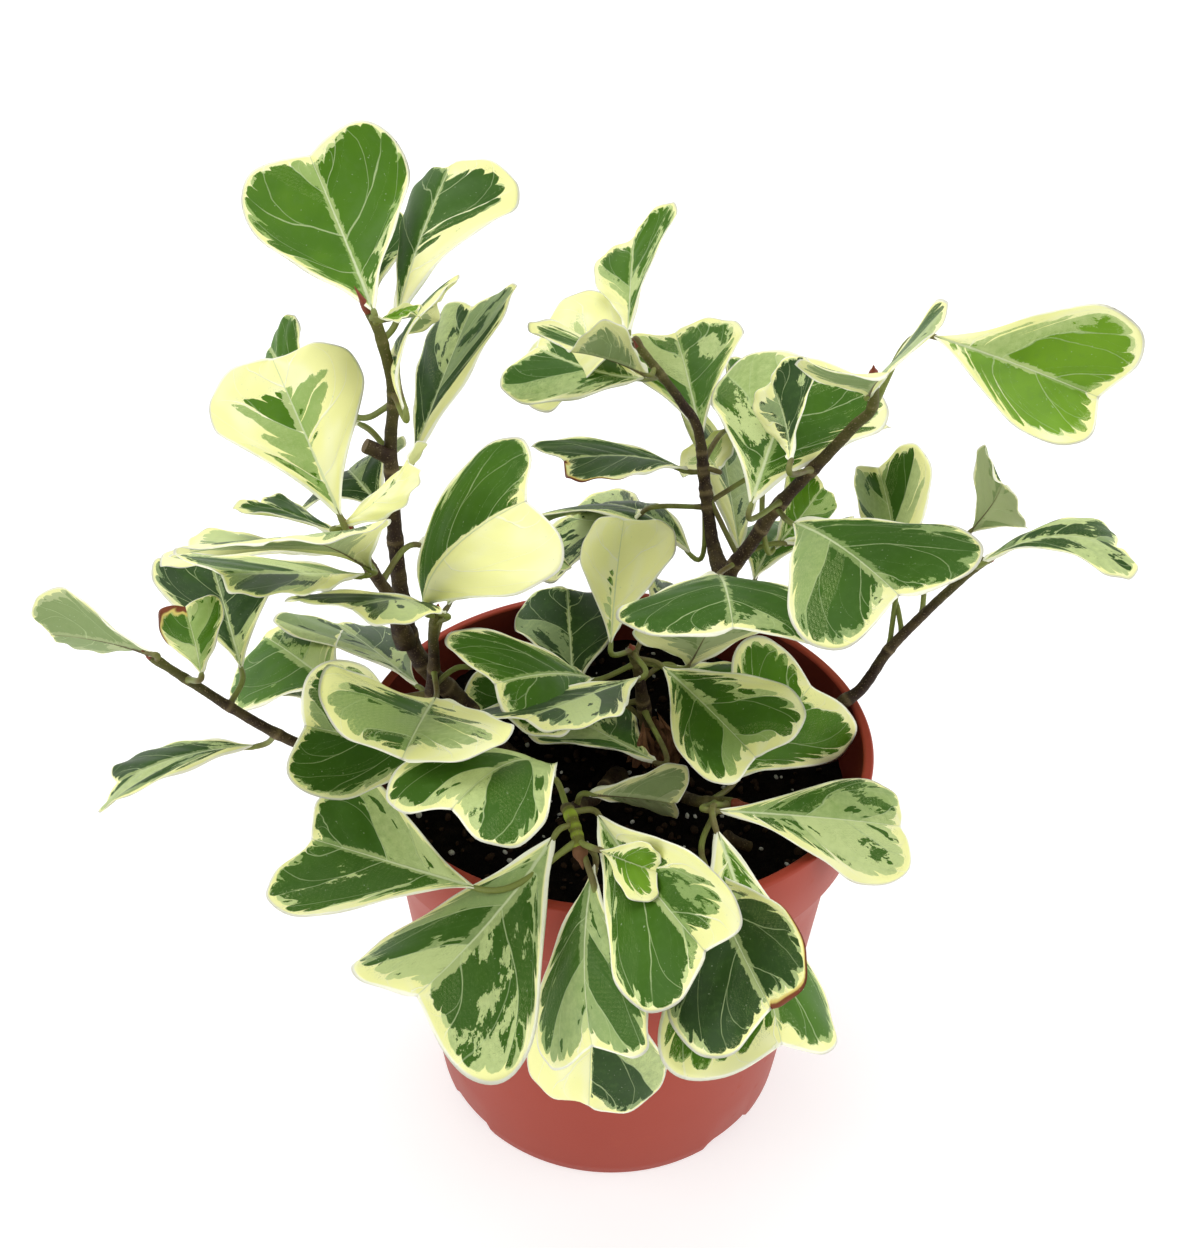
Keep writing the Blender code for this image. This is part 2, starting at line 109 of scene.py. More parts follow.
SOIL_TOP = 0.118
SOIL_RINGS = 46
SOIL_STEPS = 180
SOIL_ROUGH = 0.0016
SOIL_GAP = 0.0002
CHIP_COUNT = 520
DRY_COUNT = 9
DRY_SEED = 41
DRY_HEADING = 285
DRY_LENGTH = (9, 17)
GRIT_COUNT = 130

BLADE_HALF = [(0, 0), (0.22, 0.22), (0.50, 0.62), (0.76, 0.97), (0.95, 0.90), (1.0, 0.52), (0.92, 0)]
BLADE_NOTCH = 0.92
BLADE_ROWS = 44
BLADE_COLUMNS = 15
BLADE_THICKNESS = 0.0005
MIDRIB_PACE = 1.2
TINY = 1e-6
VEINS = 6
WAVE = 0.0011
RIPPLE = 0.0004
PUFF = 0.00035
RIDGE = 0.0006
LEAVES_IN_SPRAY = 2
BAKE_MARGIN = 0.04

# A habit bends a blade: how far its tip curls down along the midrib, how far its halves fold up
# at the midrib, and how much further they lift towards the edge, in degrees.
HABITS = {
    "flat": (5, 0, 0),
    "arched": (35, 0, 0),
    "hooked": (80, 5, -10),
    "raised": (-30, -5, -15),
    "cupped": (20, 15, 15),
    "domed": (20, -15, -15),
    "folded": (0, 30, 0),
}

SPAN_STEPS = 14
STEM_SIDES = 20
STALK_SIDES = 10
STALK_RADIUS = 0.0008
STALK_REACH = 0.16
STALK_STEPS = 14
BUD_STEPS = 12
BUD_SIDES = 12
STUB_STEPS = 12
LIMB_STEP = 0.0005
NODE_GAP = 0.011
NODE_LENGTH = 0.0016
SCAR_LENGTH = 0.0006
YOUNG_FROM = 0.72
ROOT_FLARE = 1.5
FLARE_HEIGHT = 0.012
SUNK = 0.004
SHOOT_RING = 0.0032

# Leaves on the side away from the front. Lengths are in millimetres and angles in degrees.
REAR_START = 0.06
REAR_END = 0.94
REAR_LENGTH = (40, 54)
REAR_WIDTH = 0.8
REAR_STALK = (9, 15)
REAR_LIFT = 0.35
REAR_FAN = 25
REAR_RISE = (-25, 30)
REAR_ROLL = 25
REAR_HABITS = ("flat", "arched", "raised", "domed")
REAR_CREAM = (4, 24)
REAR_SAGE = (15, 55)
REAR_TONE = (15, 90)


def leaf(at, base, heading, rise, roll, length, width, habit, cream, sage, tone, burn=0):
    """One leaf: where its stalk leaves the stem, its blade, and how its colours are shared.

    cream holds the pale margin's width in percent of half the blade: left of the midrib at the
    base and at the tip, then the same right of it. sage is the share of grey-green, and tone runs
    from a vivid yellow-green (-30) to a deep grey-green (100). burn is the reach in from the edge,
    in percent, of a brown scorched patch at the tip's left lobe.
    """
    return {
        "at": at, "base": Vector(base) * MM, "heading": heading, "rise": rise, "roll": roll,
        "length": length * MM, "width": width * MM, "habit": habit,
        "cream": [amount / 100 for amount in cream], "sage": sage / 100, "tone": tone / 100,
        "burn": burn / 100,
    }


# Each path runs from the soil or the parent limb to the tip, through the way points that the
# stem is seen to pass. "radius" is at its two ends, "limb_end" is the share of its length where
# the bare limb ends and its mass of leaves begins, and "parent" is the limb that it grows from.
# "rear" holds the leaves on the far side, each as the way it points, in degrees, and its seed.
# "bud" is the end bud's length in millimetres, "shoot" the share from which the stem is a fresh
# green shoot with a dried bud, and "sprouts" are tiny young leaves.
PLANT = {
    "left": {
        "limb": "left_trunk", "mass": "left_crown_leaves", "parent": None,
        "radius": (3.0, 1.2), "limb_end": 0.5,
        "way": [(-33, 0, 118), (-45, -2, 141), (-54, -4, 154), (-58, -5, 167), (-59, -6, 190),
                (-58, -6, 222), (-56, -6, 237), (-58, -6, 252), (-60, -6, 257)],
        "leaves": [
            leaf(0.98, (-58, -10, 258), 120, 35, -25, 54, 46, "raised", (5, 12, 5, 8), 20, 10),
            leaf(0.95, (-55, 0, 253), 75, 35, -10, 53, 38, "domed", (3, 5, 60, 30), 15, 55),
            leaf(0.86, (-51, -18, 237), 80, 25, -55, 42, 24, "hooked", (40, 30, 40, 30), 30, 50),
            leaf(0.84, (-71, 4, 228), 131, 10, -55, 42, 22, "hooked", (8, 10, 15, 10), 30, 30),
            leaf(0.72, (-54, -1, 216), 75, 30, -30, 58, 36, "flat", (3, 5, 35, 15), 15, 90),
            leaf(0.58, (-62, 2, 198), 115, -10, -25, 49, 39, "hooked", (3, 5, 5, 5), 10, 90),
        ],
        "rear": ((105, 3966), (130, 5160)), "bud": 8,
        "sprouts": [leaf(0.99, (-57, -11, 257), 350, 12, 25, 11, 6, "folded", (15, 20, 15, 20), 0, -30)],
    },
    "left_mid": {
        "limb": "left_mid_bough", "mass": "left_mid_leaves", "parent": "left",
        "radius": (2.0, 1.2), "limb_end": 0.36,
        "way": [(-59, -8, 168), (-60, -13, 182), (-62, -20, 194), (-64, -27, 206), (-65, -29, 212)],
        "leaves": [
            leaf(0.92, (-65, -34, 217), 126, 42, -18, 47, 45, "domed", (14, 55, 50, 60), 55, 5),
            leaf(0.98, (-67, -33, 214), 350, 45, 20, 30, 18, "raised", (60, 90, 60, 90), 30, 10),
            leaf(0.63, (-68, -13, 200), 160, 10, 20, 31, 22, "flat", (25, 25, 15, 20), 20, 70),
            leaf(0.74, (-68, -21, 201), 180, 0, 15, 43, 33, "flat", (40, 45, 25, 30), 90, 70),
            leaf(0.84, (-59, -34, 203), 255, 35, 15, 54, 46, "arched", (30, 30, 30, 30), 50, 70),
            leaf(0.68, (-62, -29, 199), 235, 25, 0, 48, 34, "flat", (25, 15, 3, 10), 50, 70),
        ],
        "rear": ((35, 2105), (135, 5944), (150, 7674)), "bud": 5,
    },
    "far_left": {
        "limb": "far_left_bough", "mass": "far_left_leaves", "parent": "low_left",
        "radius": (1.8, 1.1), "limb_end": 0.30,
        "way": [(-55, -18, 128), (-70, -26, 138), (-86, -28, 145), (-100, -30, 157), (-109, -32, 167),
                (-118, -33, 176)],
        "leaves": [
            leaf(0.98, (-116, -35, 178), 156, -8, 80, 42, 24, "cupped", (6, 10, 4, 8), 40, 75),
            leaf(0.87, (-104, -38, 174), 115, 25, -15, 24, 19, "raised", (8, 20, 8, 10), 60, 10, 45),
            leaf(0.71, (-101, -19, 162), 115, 15, 10, 47, 35, "flat", (8, 12, 8, 10), 25, 95),
            leaf(0.53, (-98, -26, 142), 192, -13, 10, 43, 30, "arched", (20, 10, 4, 5), 40, 85),
        ],
        "rear": ((125, 3587),), "bud": 4,
    },
    "low_left": {
        "limb": "left_second_stem", "mass": "left_low_leaves", "parent": None,
        "radius": (2.4, 1.2), "limb_end": 0.30,
        "way": [(-53, -17, 118), (-53, -14, 136), (-52, -12, 148), (-50, -13, 162), (-49, -16, 174),
                (-47, -19, 183)],
        "leaves": [
            leaf(0.50, (-76, -12, 150), 130, -10, -20, 60, 48, "domed", (5, 8, 15, 30), 40, 20),
            leaf(0.40, (-57, -1, 145), 130, -5, 25, 56, 47, "flat", (4, 5, 4, 5), 60, 90),
            leaf(0.36, (-47, -22, 137), 215, 35, -60, 51, 40, "cupped", (8, 10, 10, 14), 20, 55),
            leaf(0.64, (-48, -25, 159), 270, 20, -15, 55, 52, "cupped", (35, 40, 20, 22), 25, 40),
            leaf(0.97, (-49, -23, 185), 340, 50, 50, 57, 42, "hooked", (3, 5, 110, 130), 5, 30),
            leaf(0.92, (-44, -23, 184), 245, 30, 5, 47, 38, "arched", (10, 15, 15, 20), 40, 95),
        ],
        "rear": ((45, 5661), (60, 1442)), "bud": 4,
    },
    "centre": {
        "limb": "centre_stem", "mass": "centre_leaves", "parent": None,
        "radius": (2.4, 1.3), "limb_end": 0.15,
        "way": [(11, 6, 118), (8, 8, 135), (6, 8, 147), (4, 7, 155)],
        "leaves": [
            leaf(0.84, (-7, 2, 147), 230, 25, -18, 48, 45, "arched", (4, 8, 5, 10), 25, 35),
            leaf(0.96, (7, -6, 154), 232, 15, 20, 54, 48, "flat", (10, 18, 8, 15), 20, 90),
            leaf(0.40, (12, -18, 133), 130, -12, 8, 43, 36, "flat", (8, 12, 10, 12), 50, 50),
            leaf(0.47, (-13, 11, 133), 95, 10, 0, 55, 42, "domed", (2, 3, 2, 4), 10, 95),
            leaf(0.97, (-2, 0, 160), 85, 30, -10, 46, 35, "domed", (12, 125, 50, 130), 70, 10),
            leaf(0.86, (20, 1, 153), 285, 56, -4, 35, 42, "flat", (20, 30, 20, 30), 50, 50),
            leaf(0.90, (13, 4, 151), 300, 0, 20, 52, 40, "cupped", (10, 24, 12, 30), 45, 35),
        ],
        "rear": ((0, 2484), (40, 2348), (130, 1497)), "bud": 3,
    },
    "right": {
        "limb": "right_trunk", "mass": "right_crown_leaves", "parent": None,
        "radius": (2.9, 1.2), "limb_end": 0.36,
        "way": [(22, 25, 118), (26, 26, 145), (32, 24, 170), (37, 22, 181), (44, 18, 197),
                (55, 12, 216), (60, 9, 225), (63, 6, 231), (61, 1, 242)],
        "leaves": [
            leaf(0.43, (28, 12, 177), 270, 14, 0, 54, 58, "arched", (4, 8, 6, 10), 20, 55),
            leaf(0.62, (34, 2, 204), 68, 32, 2, 55, 60, "domed", (4, 6, 10, 25), 22, 30),
            leaf(0.72, (42, -6, 221), 98, 22, -60, 32, 23, "raised", (40, 60, 10, 10), 30, 95),
            leaf(0.98, (60, 0, 236), 265, 29, 27, 42, 40, "cupped", (12, 20, 12, 20), 30, 60),
            leaf(0.92, (75, 6, 250), 313, -3, 50, 49, 37, "cupped", (25, 12, 20, 22), 20, -25),
            leaf(0.60, (46, 5, 198), 290, 8, 22, 60, 48, "arched", (5, 8, 8, 14), 40, 50),
            leaf(0.54, (44, 22, 180), 51, 25, 50, 30, 23, "domed", (10, 14, 10, 12), 20, 0),
            leaf(0.39, (41, 34, 162), 68, -5, -15, 54, 43, "arched", (6, 10, 6, 10), 10, 15),
        ],
        "rear": ((15, 1918), (90, 1672), (95, 965)), "bud": 4,
    },
    "back": {
        "limb": "back_bough", "mass": "back_leaves", "parent": "right",
        "radius": (2.1, 1.1), "limb_end": 0.12,
        "way": [(31, 27, 168), (28, 36, 174), (25, 42, 190), (22, 45, 207), (17, 48, 214),
                (12, 50, 220), (4, 53, 229)],
        "leaves": [
            leaf(0.98, (1, 60, 230), 88, 25, -48, 47, 37, "flat", (35, 30, 5, 8), 30, 20),
            leaf(0.96, (3, 54, 231), 127, -15, -48, 58, 47, "raised", (70, 80, 45, 60), 60, 30),
            leaf(0.90, (7, 46, 223), 230, 25, 10, 42, 31, "cupped", (20, 30, 20, 30), 40, 50),
            leaf(0.86, (7, 56, 218), 142, 0, -20, 49, 39, "raised", (8, 8, 10, 15), 20, 45),
            leaf(0.52, (24, 53, 200), 100, 22, -12, 52, 43, "arched", (4, 20, 4, 20), 25, 20),
            leaf(0.44, (20, 44, 194), 210, 15, 2, 48, 37, "arched", (10, 15, 4, 6), 20, 85, 12),
            leaf(0.30, (7, 45, 180), 125, -25, -28, 56, 48, "raised", (8, 12, 10, 15), 50, 90),
            leaf(0.36, (22, 39, 168), 140, -8, 15, 60, 52, "hooked", (4, 6, 4, 6), 10, 95),
            leaf(0.36, (36, 36, 171), 95, 18, 45, 60, 48, "flat", (60, 40, 10, 10), 60, 70),
            leaf(0.46, (29, 42, 195), 103, -3, -35, 27, 22, "raised", (50, 60, 40, 50), 80, 0),
        ],
        "rear": ((10, 2705), (80, 1255)), "bud": 4,
    },
    "low_right": {
        "limb": "right_low_bough", "mass": "right_low_leaves", "parent": None,
        "radius": (2.3, 1.1), "limb_end": 0.50,
        "way": [(30, 4, 118), (48, 8, 124), (60, 10, 129), (68, 11, 134.5), (74, 13, 139), (81, 18, 149),
                (88, 18, 160), (93.5, 14, 172), (99, 9, 184), (101, 6, 188)],
        "leaves": [
            leaf(0.58, (84, 31, 162), 97, 38, -55, 46, 32, "raised", (8, 15, 30, 25), 50, 50),
            leaf(0.97, (94, 7, 195), 268, 52, -61, 33, 24, "arched", (4, 6, 4, 6), 60, 80),
            leaf(0.95, (98, 3, 188), 354, 10, -1, 40, 30, "hooked", (6, 12, 6, 12), 40, 85),
        ],
        "rear": ((80, 780), (85, 132)), "bud": 4,
    },
    "front": {
        "limb": "front_stem", "mass": "front_leaves", "parent": None,
        "radius": (2.2, 1.3), "limb_end": 0.42,
        "way": [(0, -8, 118), (-6, -28, 128), (-11, -44, 138), (-12, -50, 144), (-11, -56, 148),
                (-9, -62, 147), (-8, -66, 145)],
        "leaves": [
            leaf(0.80, (-15, -46, 150), 242, 25, 0, 57, 38, "hooked", (6, 10, 10, 14), 30, 45),
            leaf(0.97, (-32, -73, 138), 158, -3, -20, 53, 41, "flat", (8, 10, 4, 10), 30, 40),
            leaf(0.90, (-14, -64, 148), 229, -21, 2, 54, 57, "raised", (4, 10, 5, 16), 60, 55),
            leaf(0.96, (-4, -67, 142), 272, -30, 50, 47, 42, "arched", (5, 12, 5, 18), 55, 50),
            leaf(0.84, (-4, -56, 148), 300, 0, 50, 55, 40, "cupped", (40, 45, 5, 8), 40, 40),
            leaf(0.97, (-3, -70, 149), 320, 15, 64, 20, 16, "cupped", (32, 36, 34, 38), 0, -8),
            leaf(0.93, (-3, -79, 134), 263, -78, 1, 60, 43, "domed", (5, 6, 50, 130), 15, 90),
            leaf(0.56, (-7, -42, 142), 5, -11, -89, 26, 21, "cupped", (15, 20, 15, 20), 60, 60),
        ],
        "rear": (), "bud": 6, "shoot": 0.84,
    },
    "front_right": {
        "limb": "front_right_stem", "mass": "front_right_leaves", "parent": None,
        "radius": (2.2, 1.4), "limb_end": 0.55,
        "way": [(17, -8, 118), (17, -24, 128), (22, -38, 137), (31, -42, 140)],
        "leaves": [
            leaf(0.92, (23, -60, 136), 285, 3, 45, 53, 42, "cupped", (18, 12, 6, 8), 35, 95, 13),
            leaf(0.97, (25, -60, 148), 288, -30, -12, 57, 56, "domed", (5, 12, 12, 22), 15, 15),
            leaf(0.90, (25, -54, 148), 11, -14, 34, 57, 33, "domed", (12, 14, 15, 22), 55, 40),
            leaf(0.86, (33, -30, 138), 51, 18, 39, 42, 48, "raised", (8, 14, 8, 20), 10, 10),
        ],
        "rear": (), "bud": 6,
    },
}

# Cut side shoots: each stub's foot, the way it points, its length and its radius, in millimetres.
STUBS = [
    ("cut_stub", "left_crown_leaves", ((-58, -7, 220.5), (-0.70, -0.25, 0.50), 7.2, 1.9)),
    ("cut_end", "front_right_leaves", ((30, -42, 128), (0.75, 0.10, -0.45), 8.0, 1.5)),
]


def smooth_step(value, low, high):
    share = np.clip((value - low) / (high - low), 0, 1)
    return share * share * (3 - 2 * share)


def catmull_rom(a, b, c, d, t):
    square = 2 * a - 5 * b + 4 * c - d
    cube = 3 * b - a - 3 * c + d
    return 0.5 * (2 * b + (c - a) * t + square * t * t + cube * t ** 3)


def smooth_path(way):
    """Points along one smooth curve through the way points, in metres."""
    points = [Vector(point) * MM for point in way]
    points = [2 * points[0] - points[1], *points, 2 * points[-1] - points[-2]]
    path = []
    for a, b, c, d in zip(points, points[1:], points[2:], points[3:]):
        path += [catmull_rom(a, b, c, d, step / SPAN_STEPS) for step in range(SPAN_STEPS)]
    return path + [points[-2]]


def path_stations(path):
    """Each point's share of the path's length, and that length."""
    stations = [0]
    for here, there in zip(path, path[1:]):
        stations.append(stations[-1] + (there - here).length)
    return [station / stations[-1] for station in stations], stations[-1]


def point_at(path, share):
    stations, _ = path_stations(path)
    for index in range(1, len(path)):
        if share <= stations[index] or index == len(path) - 1:
            part = (share - stations[index - 1]) / (stations[index] - stations[index - 1])
            return path[index - 1].lerp(path[index], part)


def ride(piece, slot, *nodes):
    """Hands a piece to the frame: its body and the solids it stands for; its material slot is not used."""
    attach(piece, BODY)
    if nodes:
        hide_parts(*nodes)


def add_mesh(name, points, faces, materials, face_material=None):
    mesh = bpy.data.meshes.new(name)
    mesh.from_pydata([tuple(point) for point in points], [], [tuple(face) for face in faces])
    mesh.update()
    for surface in materials:
        mesh.materials.append(surface)
    if face_material is not None:
        mesh.polygons.foreach_set("material_index", np.asarray(face_material, dtype=np.int32))
    mesh.shade_smooth()
    made = bpy.data.objects.new(name, mesh)
    bpy.context.scene.collection.objects.link(made)
    return made


def add_point_values(mesh, name, values):
    layer = mesh.attributes.new(name, "FLOAT", "POINT")
    layer.data.foreach_set("value", np.asarray(values, dtype=np.float32))


def add_corner_map(mesh, name, corners):
    layer = mesh.uv_layers.new(name=name)
    layer.data.foreach_set("uv", np.asarray(corners, dtype=np.float32).ravel())


class Shader:
    """A material's node tree, with short calls for the nodes that the materials here share."""

    def __init__(self, name):
        self.material = bpy.data.materials.new(name)
        self.material.use_nodes = True
        self.tree = self.material.node_tree
        self.surface = self.tree.nodes["Principled BSDF"]

    def node(self, kind, **settings):
        made = self.tree.nodes.new(kind)
        for key, value in settings.items():
            setattr(made, key, value)
        return made

    def plug(self, socket, value):
        if isinstance(value, bpy.types.NodeSocket):
            self.tree.links.new(value, socket)
        elif isinstance(value, tuple) and len(value) == 3 and socket.type == "RGBA":
            socket.default_value = (*value, 1)
        else:
            socket.default_value = value

    def math(self, operation, first, second=0.0, third=0.0):
        made = self.node("ShaderNodeMath", operation=operation)
        for socket, value in zip(made.inputs, (first, second, third)):
            self.plug(socket, value)
        return made.outputs[0]

    def times(self, first, second):
        return self.math("MULTIPLY", first, second)

    def plus(self, first, second):
        return self.math("ADD", first, second)

    def minus(self, first, second):
        return self.math("SUBTRACT", first, second)

    def scaled(self, value, share, start):
        """The value times share, plus start."""
        return self.math("MULTIPLY_ADD", value, share, start)

    def most(self, first, second):
        return self.math("MAXIMUM", first, second)

    def least(self, first, second):
        return self.math("MINIMUM", first, second)

    def size(self, value):
        return self.math("ABSOLUTE", value)

    def step(self, value, low, high):
        """0 at low, 1 at high and beyond, smooth between; high may be the lower one."""
        made = self.node("ShaderNodeMapRange", interpolation_type="SMOOTHSTEP")
        self.plug(made.inputs["Value"], value)
        self.plug(made.inputs["From Min"], low)
        self.plug(made.inputs["From Max"], high)
        return made.outputs["Result"]

    def mix(self, share, first, second):
        made = self.node("ShaderNodeMix", data_type="RGBA")
        self.plug(made.inputs[0], share)
        self.plug(made.inputs[6], first)
        self.plug(made.inputs[7], second)
        return made.outputs[2]

    def vector(self, x, y, z):
        made = self.node("ShaderNodeCombineXYZ")
        for socket, value in zip(made.inputs, (x, y, z)):
            self.plug(socket, value)
        return made.outputs[0]

    def noise(self, place, scale, detail=2.0, roughness=0.5):
        made = self.node("ShaderNodeTexNoise")
        self.plug(made.inputs["Vector"], place)
        self.plug(made.inputs["Scale"], scale)
        self.plug(made.inputs["Detail"], detail)
        self.plug(made.inputs["Roughness"], roughness)
        return made.outputs["Fac"]

    def chance(self, place):
        made = self.node("ShaderNodeTexWhiteNoise", noise_dimensions="3D")
        self.plug(made.inputs["Vector"], place)
        return made.outputs["Value"]

    def place(self):
        return self.node("ShaderNodeTexCoord").outputs["Object"]

    def value(self, name):
        return self.node("ShaderNodeAttribute", attribute_name=name).outputs["Fac"]

    def bump(self, height, distance, strength=1.0):
        made = self.node("ShaderNodeBump")
        self.plug(made.inputs["Height"], height)
        self.plug(made.inputs["Distance"], distance)
        self.plug(made.inputs["Strength"], strength)
        self.plug(self.surface.inputs["Normal"], made.outputs["Normal"])

    def finish(self, color, roughness, **inputs):
        self.plug(self.surface.inputs["Base Color"], color)
        self.plug(self.surface.inputs["Roughness"], roughness)
        for name, value in inputs.items():
            self.plug(self.surface.inputs[name.replace("_", " ")], value)
        return self.material


# The leaves' colours, first those of the upper side. SECTORS is the number of fields between side
# veins on each half of a blade.
VIVID_GREEN = (0.17, 0.34, 0.018)
FRESH_GREEN = (0.068, 0.178, 0.006)
MIDDLE_GREEN = (0.044, 0.118, 0.010)
DEEP_GREEN = (0.030, 0.068, 0.016)
FLECK = (0.10, 0.20, 0.045)
SPECK = (0.55, 0.63, 0.42)
FRESH_SAGE = (0.30, 0.44, 0.12)
DULL_SAGE = (0.24, 0.33, 0.14)
PALE_SAGE = (0.56, 0.66, 0.28)
SCORCHED = (0.20, 0.055, 0.022)
YELLOWED = (0.72, 0.58, 0.16)
CREAM = (0.93, 0.93, 0.40)
MILKY_CREAM = (0.94, 0.94, 0.52)
# IVORY is also the outermost rim's colour, whitened past the real pale edge as painted light against the
# edge's shade.
IVORY = (0.97, 0.97, 0.78)
VEIN = (0.50, 0.62, 0.30)
MIDRIB = (0.66, 0.74, 0.44)
UNDER_GREEN = (0.23, 0.32, 0.12)
UNDER_MOTTLE = (0.36, 0.43, 0.20)
UNDER_SAGE = (0.42, 0.49, 0.24)
UNDER_CREAM = (0.80, 0.81, 0.38)
UNDER_RIB = (0.085, 0.036, 0.018)
UNDER_RIB_TIP = (0.40, 0.42, 0.18)
SECTORS = 4.0

# The pot's colours, between which it drifts: its outside, and its inside, darker as painted shade.
TERRACOTTA = ((0.33, 0.044, 0.024), (0.39, 0.060, 0.034))
PAINTED_INSIDE_SHADE = ((0.11, 0.015, 0.010), (0.17, 0.026, 0.016))


def leaf_zones(shader):
    """Where the cream, the grey-green and the veins lie, over the blade's own map.

    The map's first value runs along the side veins' feet, from the blade's base (0) to the notch
    in its tip (1), and its second one across, from edge to edge. The point values are the distances
    from the outline ("inset") and from the midrib ("rib"), in half widths.
    """
    uv = shader.node("ShaderNodeUVMap", uv_map="LeafSpace").outputs[0]
    parts = shader.node("ShaderNodeSeparateXYZ")
    shader.plug(parts.inputs[0], uv)
    along, across = parts.outputs[0], shader.scaled(parts.outputs[1], 2.0, -1.0)
    seed, inset, rib = shader.value("seed"), shader.value("inset"), shader.value("rib")
    side = shader.math("SIGN", across)
    out = shader.size(across)
    own = shader.scaled(side, 3.1, shader.times(seed, 7.3))

    # Side veins arc towards the tip, so what lies between two of them does too.
    bent = shader.scaled(shader.times(out, out), -0.10, along)
    fine_grid = shader.vector(shader.times(bent, 24.0), shader.times(out, 7.0), own)
    streak = shader.noise(fine_grid, 1.0, 4.0, 0.72)
    middle_grid = shader.vector(shader.times(bent, 10.0), shader.times(out, 2.4), own)
    flame = shader.noise(middle_grid, 1.0, 2.0, 0.5)
    broad_grid = shader.vector(shader.times(bent, 4.0), shader.times(out, 2.4), own)
    cloud = shader.noise(broad_grid, 1.0, 1.0, 0.5)
    ragged = shader.minus(streak, 0.5)
    drift = shader.noise(shader.vector(shader.times(bent, 2.6), out, own), 1.0, 1.0, 0.5)
    station = shader.scaled(drift, 0.24, bent)
    station = shader.scaled(flame, 0.05, station)
    station = shader.scaled(shader.chance(shader.vector(seed, side, 4.0)), 0.16, station)
    station = shader.times(station, SECTORS)
    sector = shader.math("FLOOR", station)
    within = shader.minus(station, sector)
    draw_a = shader.chance(shader.vector(sector, side, seed))
    draw_b = shader.chance(shader.vector(sector, side, shader.plus(seed, 31.0)))

    # The green ends in small lobes, and the cream reaches in between them.
    lobes = shader.times(station, 3.0)
    lobe = shader.math("FLOOR", lobes)
    draw_c = shader.chance(shader.vector(lobe, side, shader.plus(seed, 57.0)))
    cleft = shader.scaled(shader.minus(lobes, lobe), 2.0, -1.0)
    cleft = shader.math("POWER", shader.size(cleft), 4.0)
    margin = shader.value("margin")
    calm = shader.most(shader.minus(1.0, margin), 0.0)
    vary = shader.scaled(draw_a, 0.6, shader.scaled(draw_c, 0.5, -0.85))
    vary = shader.scaled(shader.minus(flame, 0.5), 1.2, vary)
    vary = shader.scaled(cleft, 0.7, vary)
    vary = shader.most(shader.scaled(vary, calm, 1.0), 0.1)
    width = shader.times(margin, vary)
    jag = shader.times(ragged, shader.scaled(margin, 0.35, 0.03))
    width = shader.most(shader.plus(width, jag), 0.03)
    cream = shader.step(inset, shader.plus(width, 0.012), width)

    # Grey-green fills some fields between the side veins, fringes the margin and lines the midrib.
    sage_share = shader.value("sage")
    field = shader.scaled(shader.minus(cloud, 0.5), 0.6, draw_b)
    field = shader.scaled(ragged, 0.35, field)
    sage = shader.step(field, shader.plus(sage_share, 0.012), sage_share)
    fringe = shader.scaled(draw_c, 0.16, shader.scaled(flame, 0.8, -0.44))
    fringe = shader.times(fringe, shader.scaled(sage_share, 1.1, 0.25))
    fringe = shader.plus(width, shader.scaled(ragged, 0.12, fringe))
    sage = shader.most(sage, shader.step(inset, shader.plus(fringe, 0.012), fringe))
    dark = shader.scaled(ragged, 0.2, flame)
    sage = shader.least(sage, shader.step(dark, 0.65, 0.64))
    foot = shader.times(shader.times(draw_b, sage_share), 0.12)
    foot = shader.scaled(ragged, 0.14, shader.plus(foot, 0.018))
    halo = shader.step(rib, shader.plus(foot, 0.012), foot)
    sage = shader.most(sage, shader.times(halo, 0.75))

    # Veins: the midrib narrows towards the notch, and the side veins fork and fade to the edge.
    barb = shader.scaled(ragged, 1.6, 1.0)
    thick = shader.times(shader.scaled(along, -0.022, 0.027), barb)
    midrib = shader.step(rib, thick, shader.times(thick, 0.4))
    off = shader.least(within, shader.minus(1.0, within))
    thin = shader.scaled(out, -0.012, 0.026)
    vein = shader.times(shader.step(off, thin, shader.times(thin, 0.2)),
                       shader.step(out, 1.0, 0.6))
    branch = shader.times(shader.step(out, 0.3, 1.1), 0.75)
    fork = shader.size(shader.minus(within, branch))
    fork = shader.times(shader.step(fork, 0.018, 0.006), shader.step(out, 0.3, 0.4))
    vein = shader.most(vein, shader.times(fork, 0.6))
    return {"along": along, "inset": inset, "cream": cream, "sage": sage, "midrib": midrib, "vein": vein,
            "cloud": cloud, "light": draw_a, "side": side}


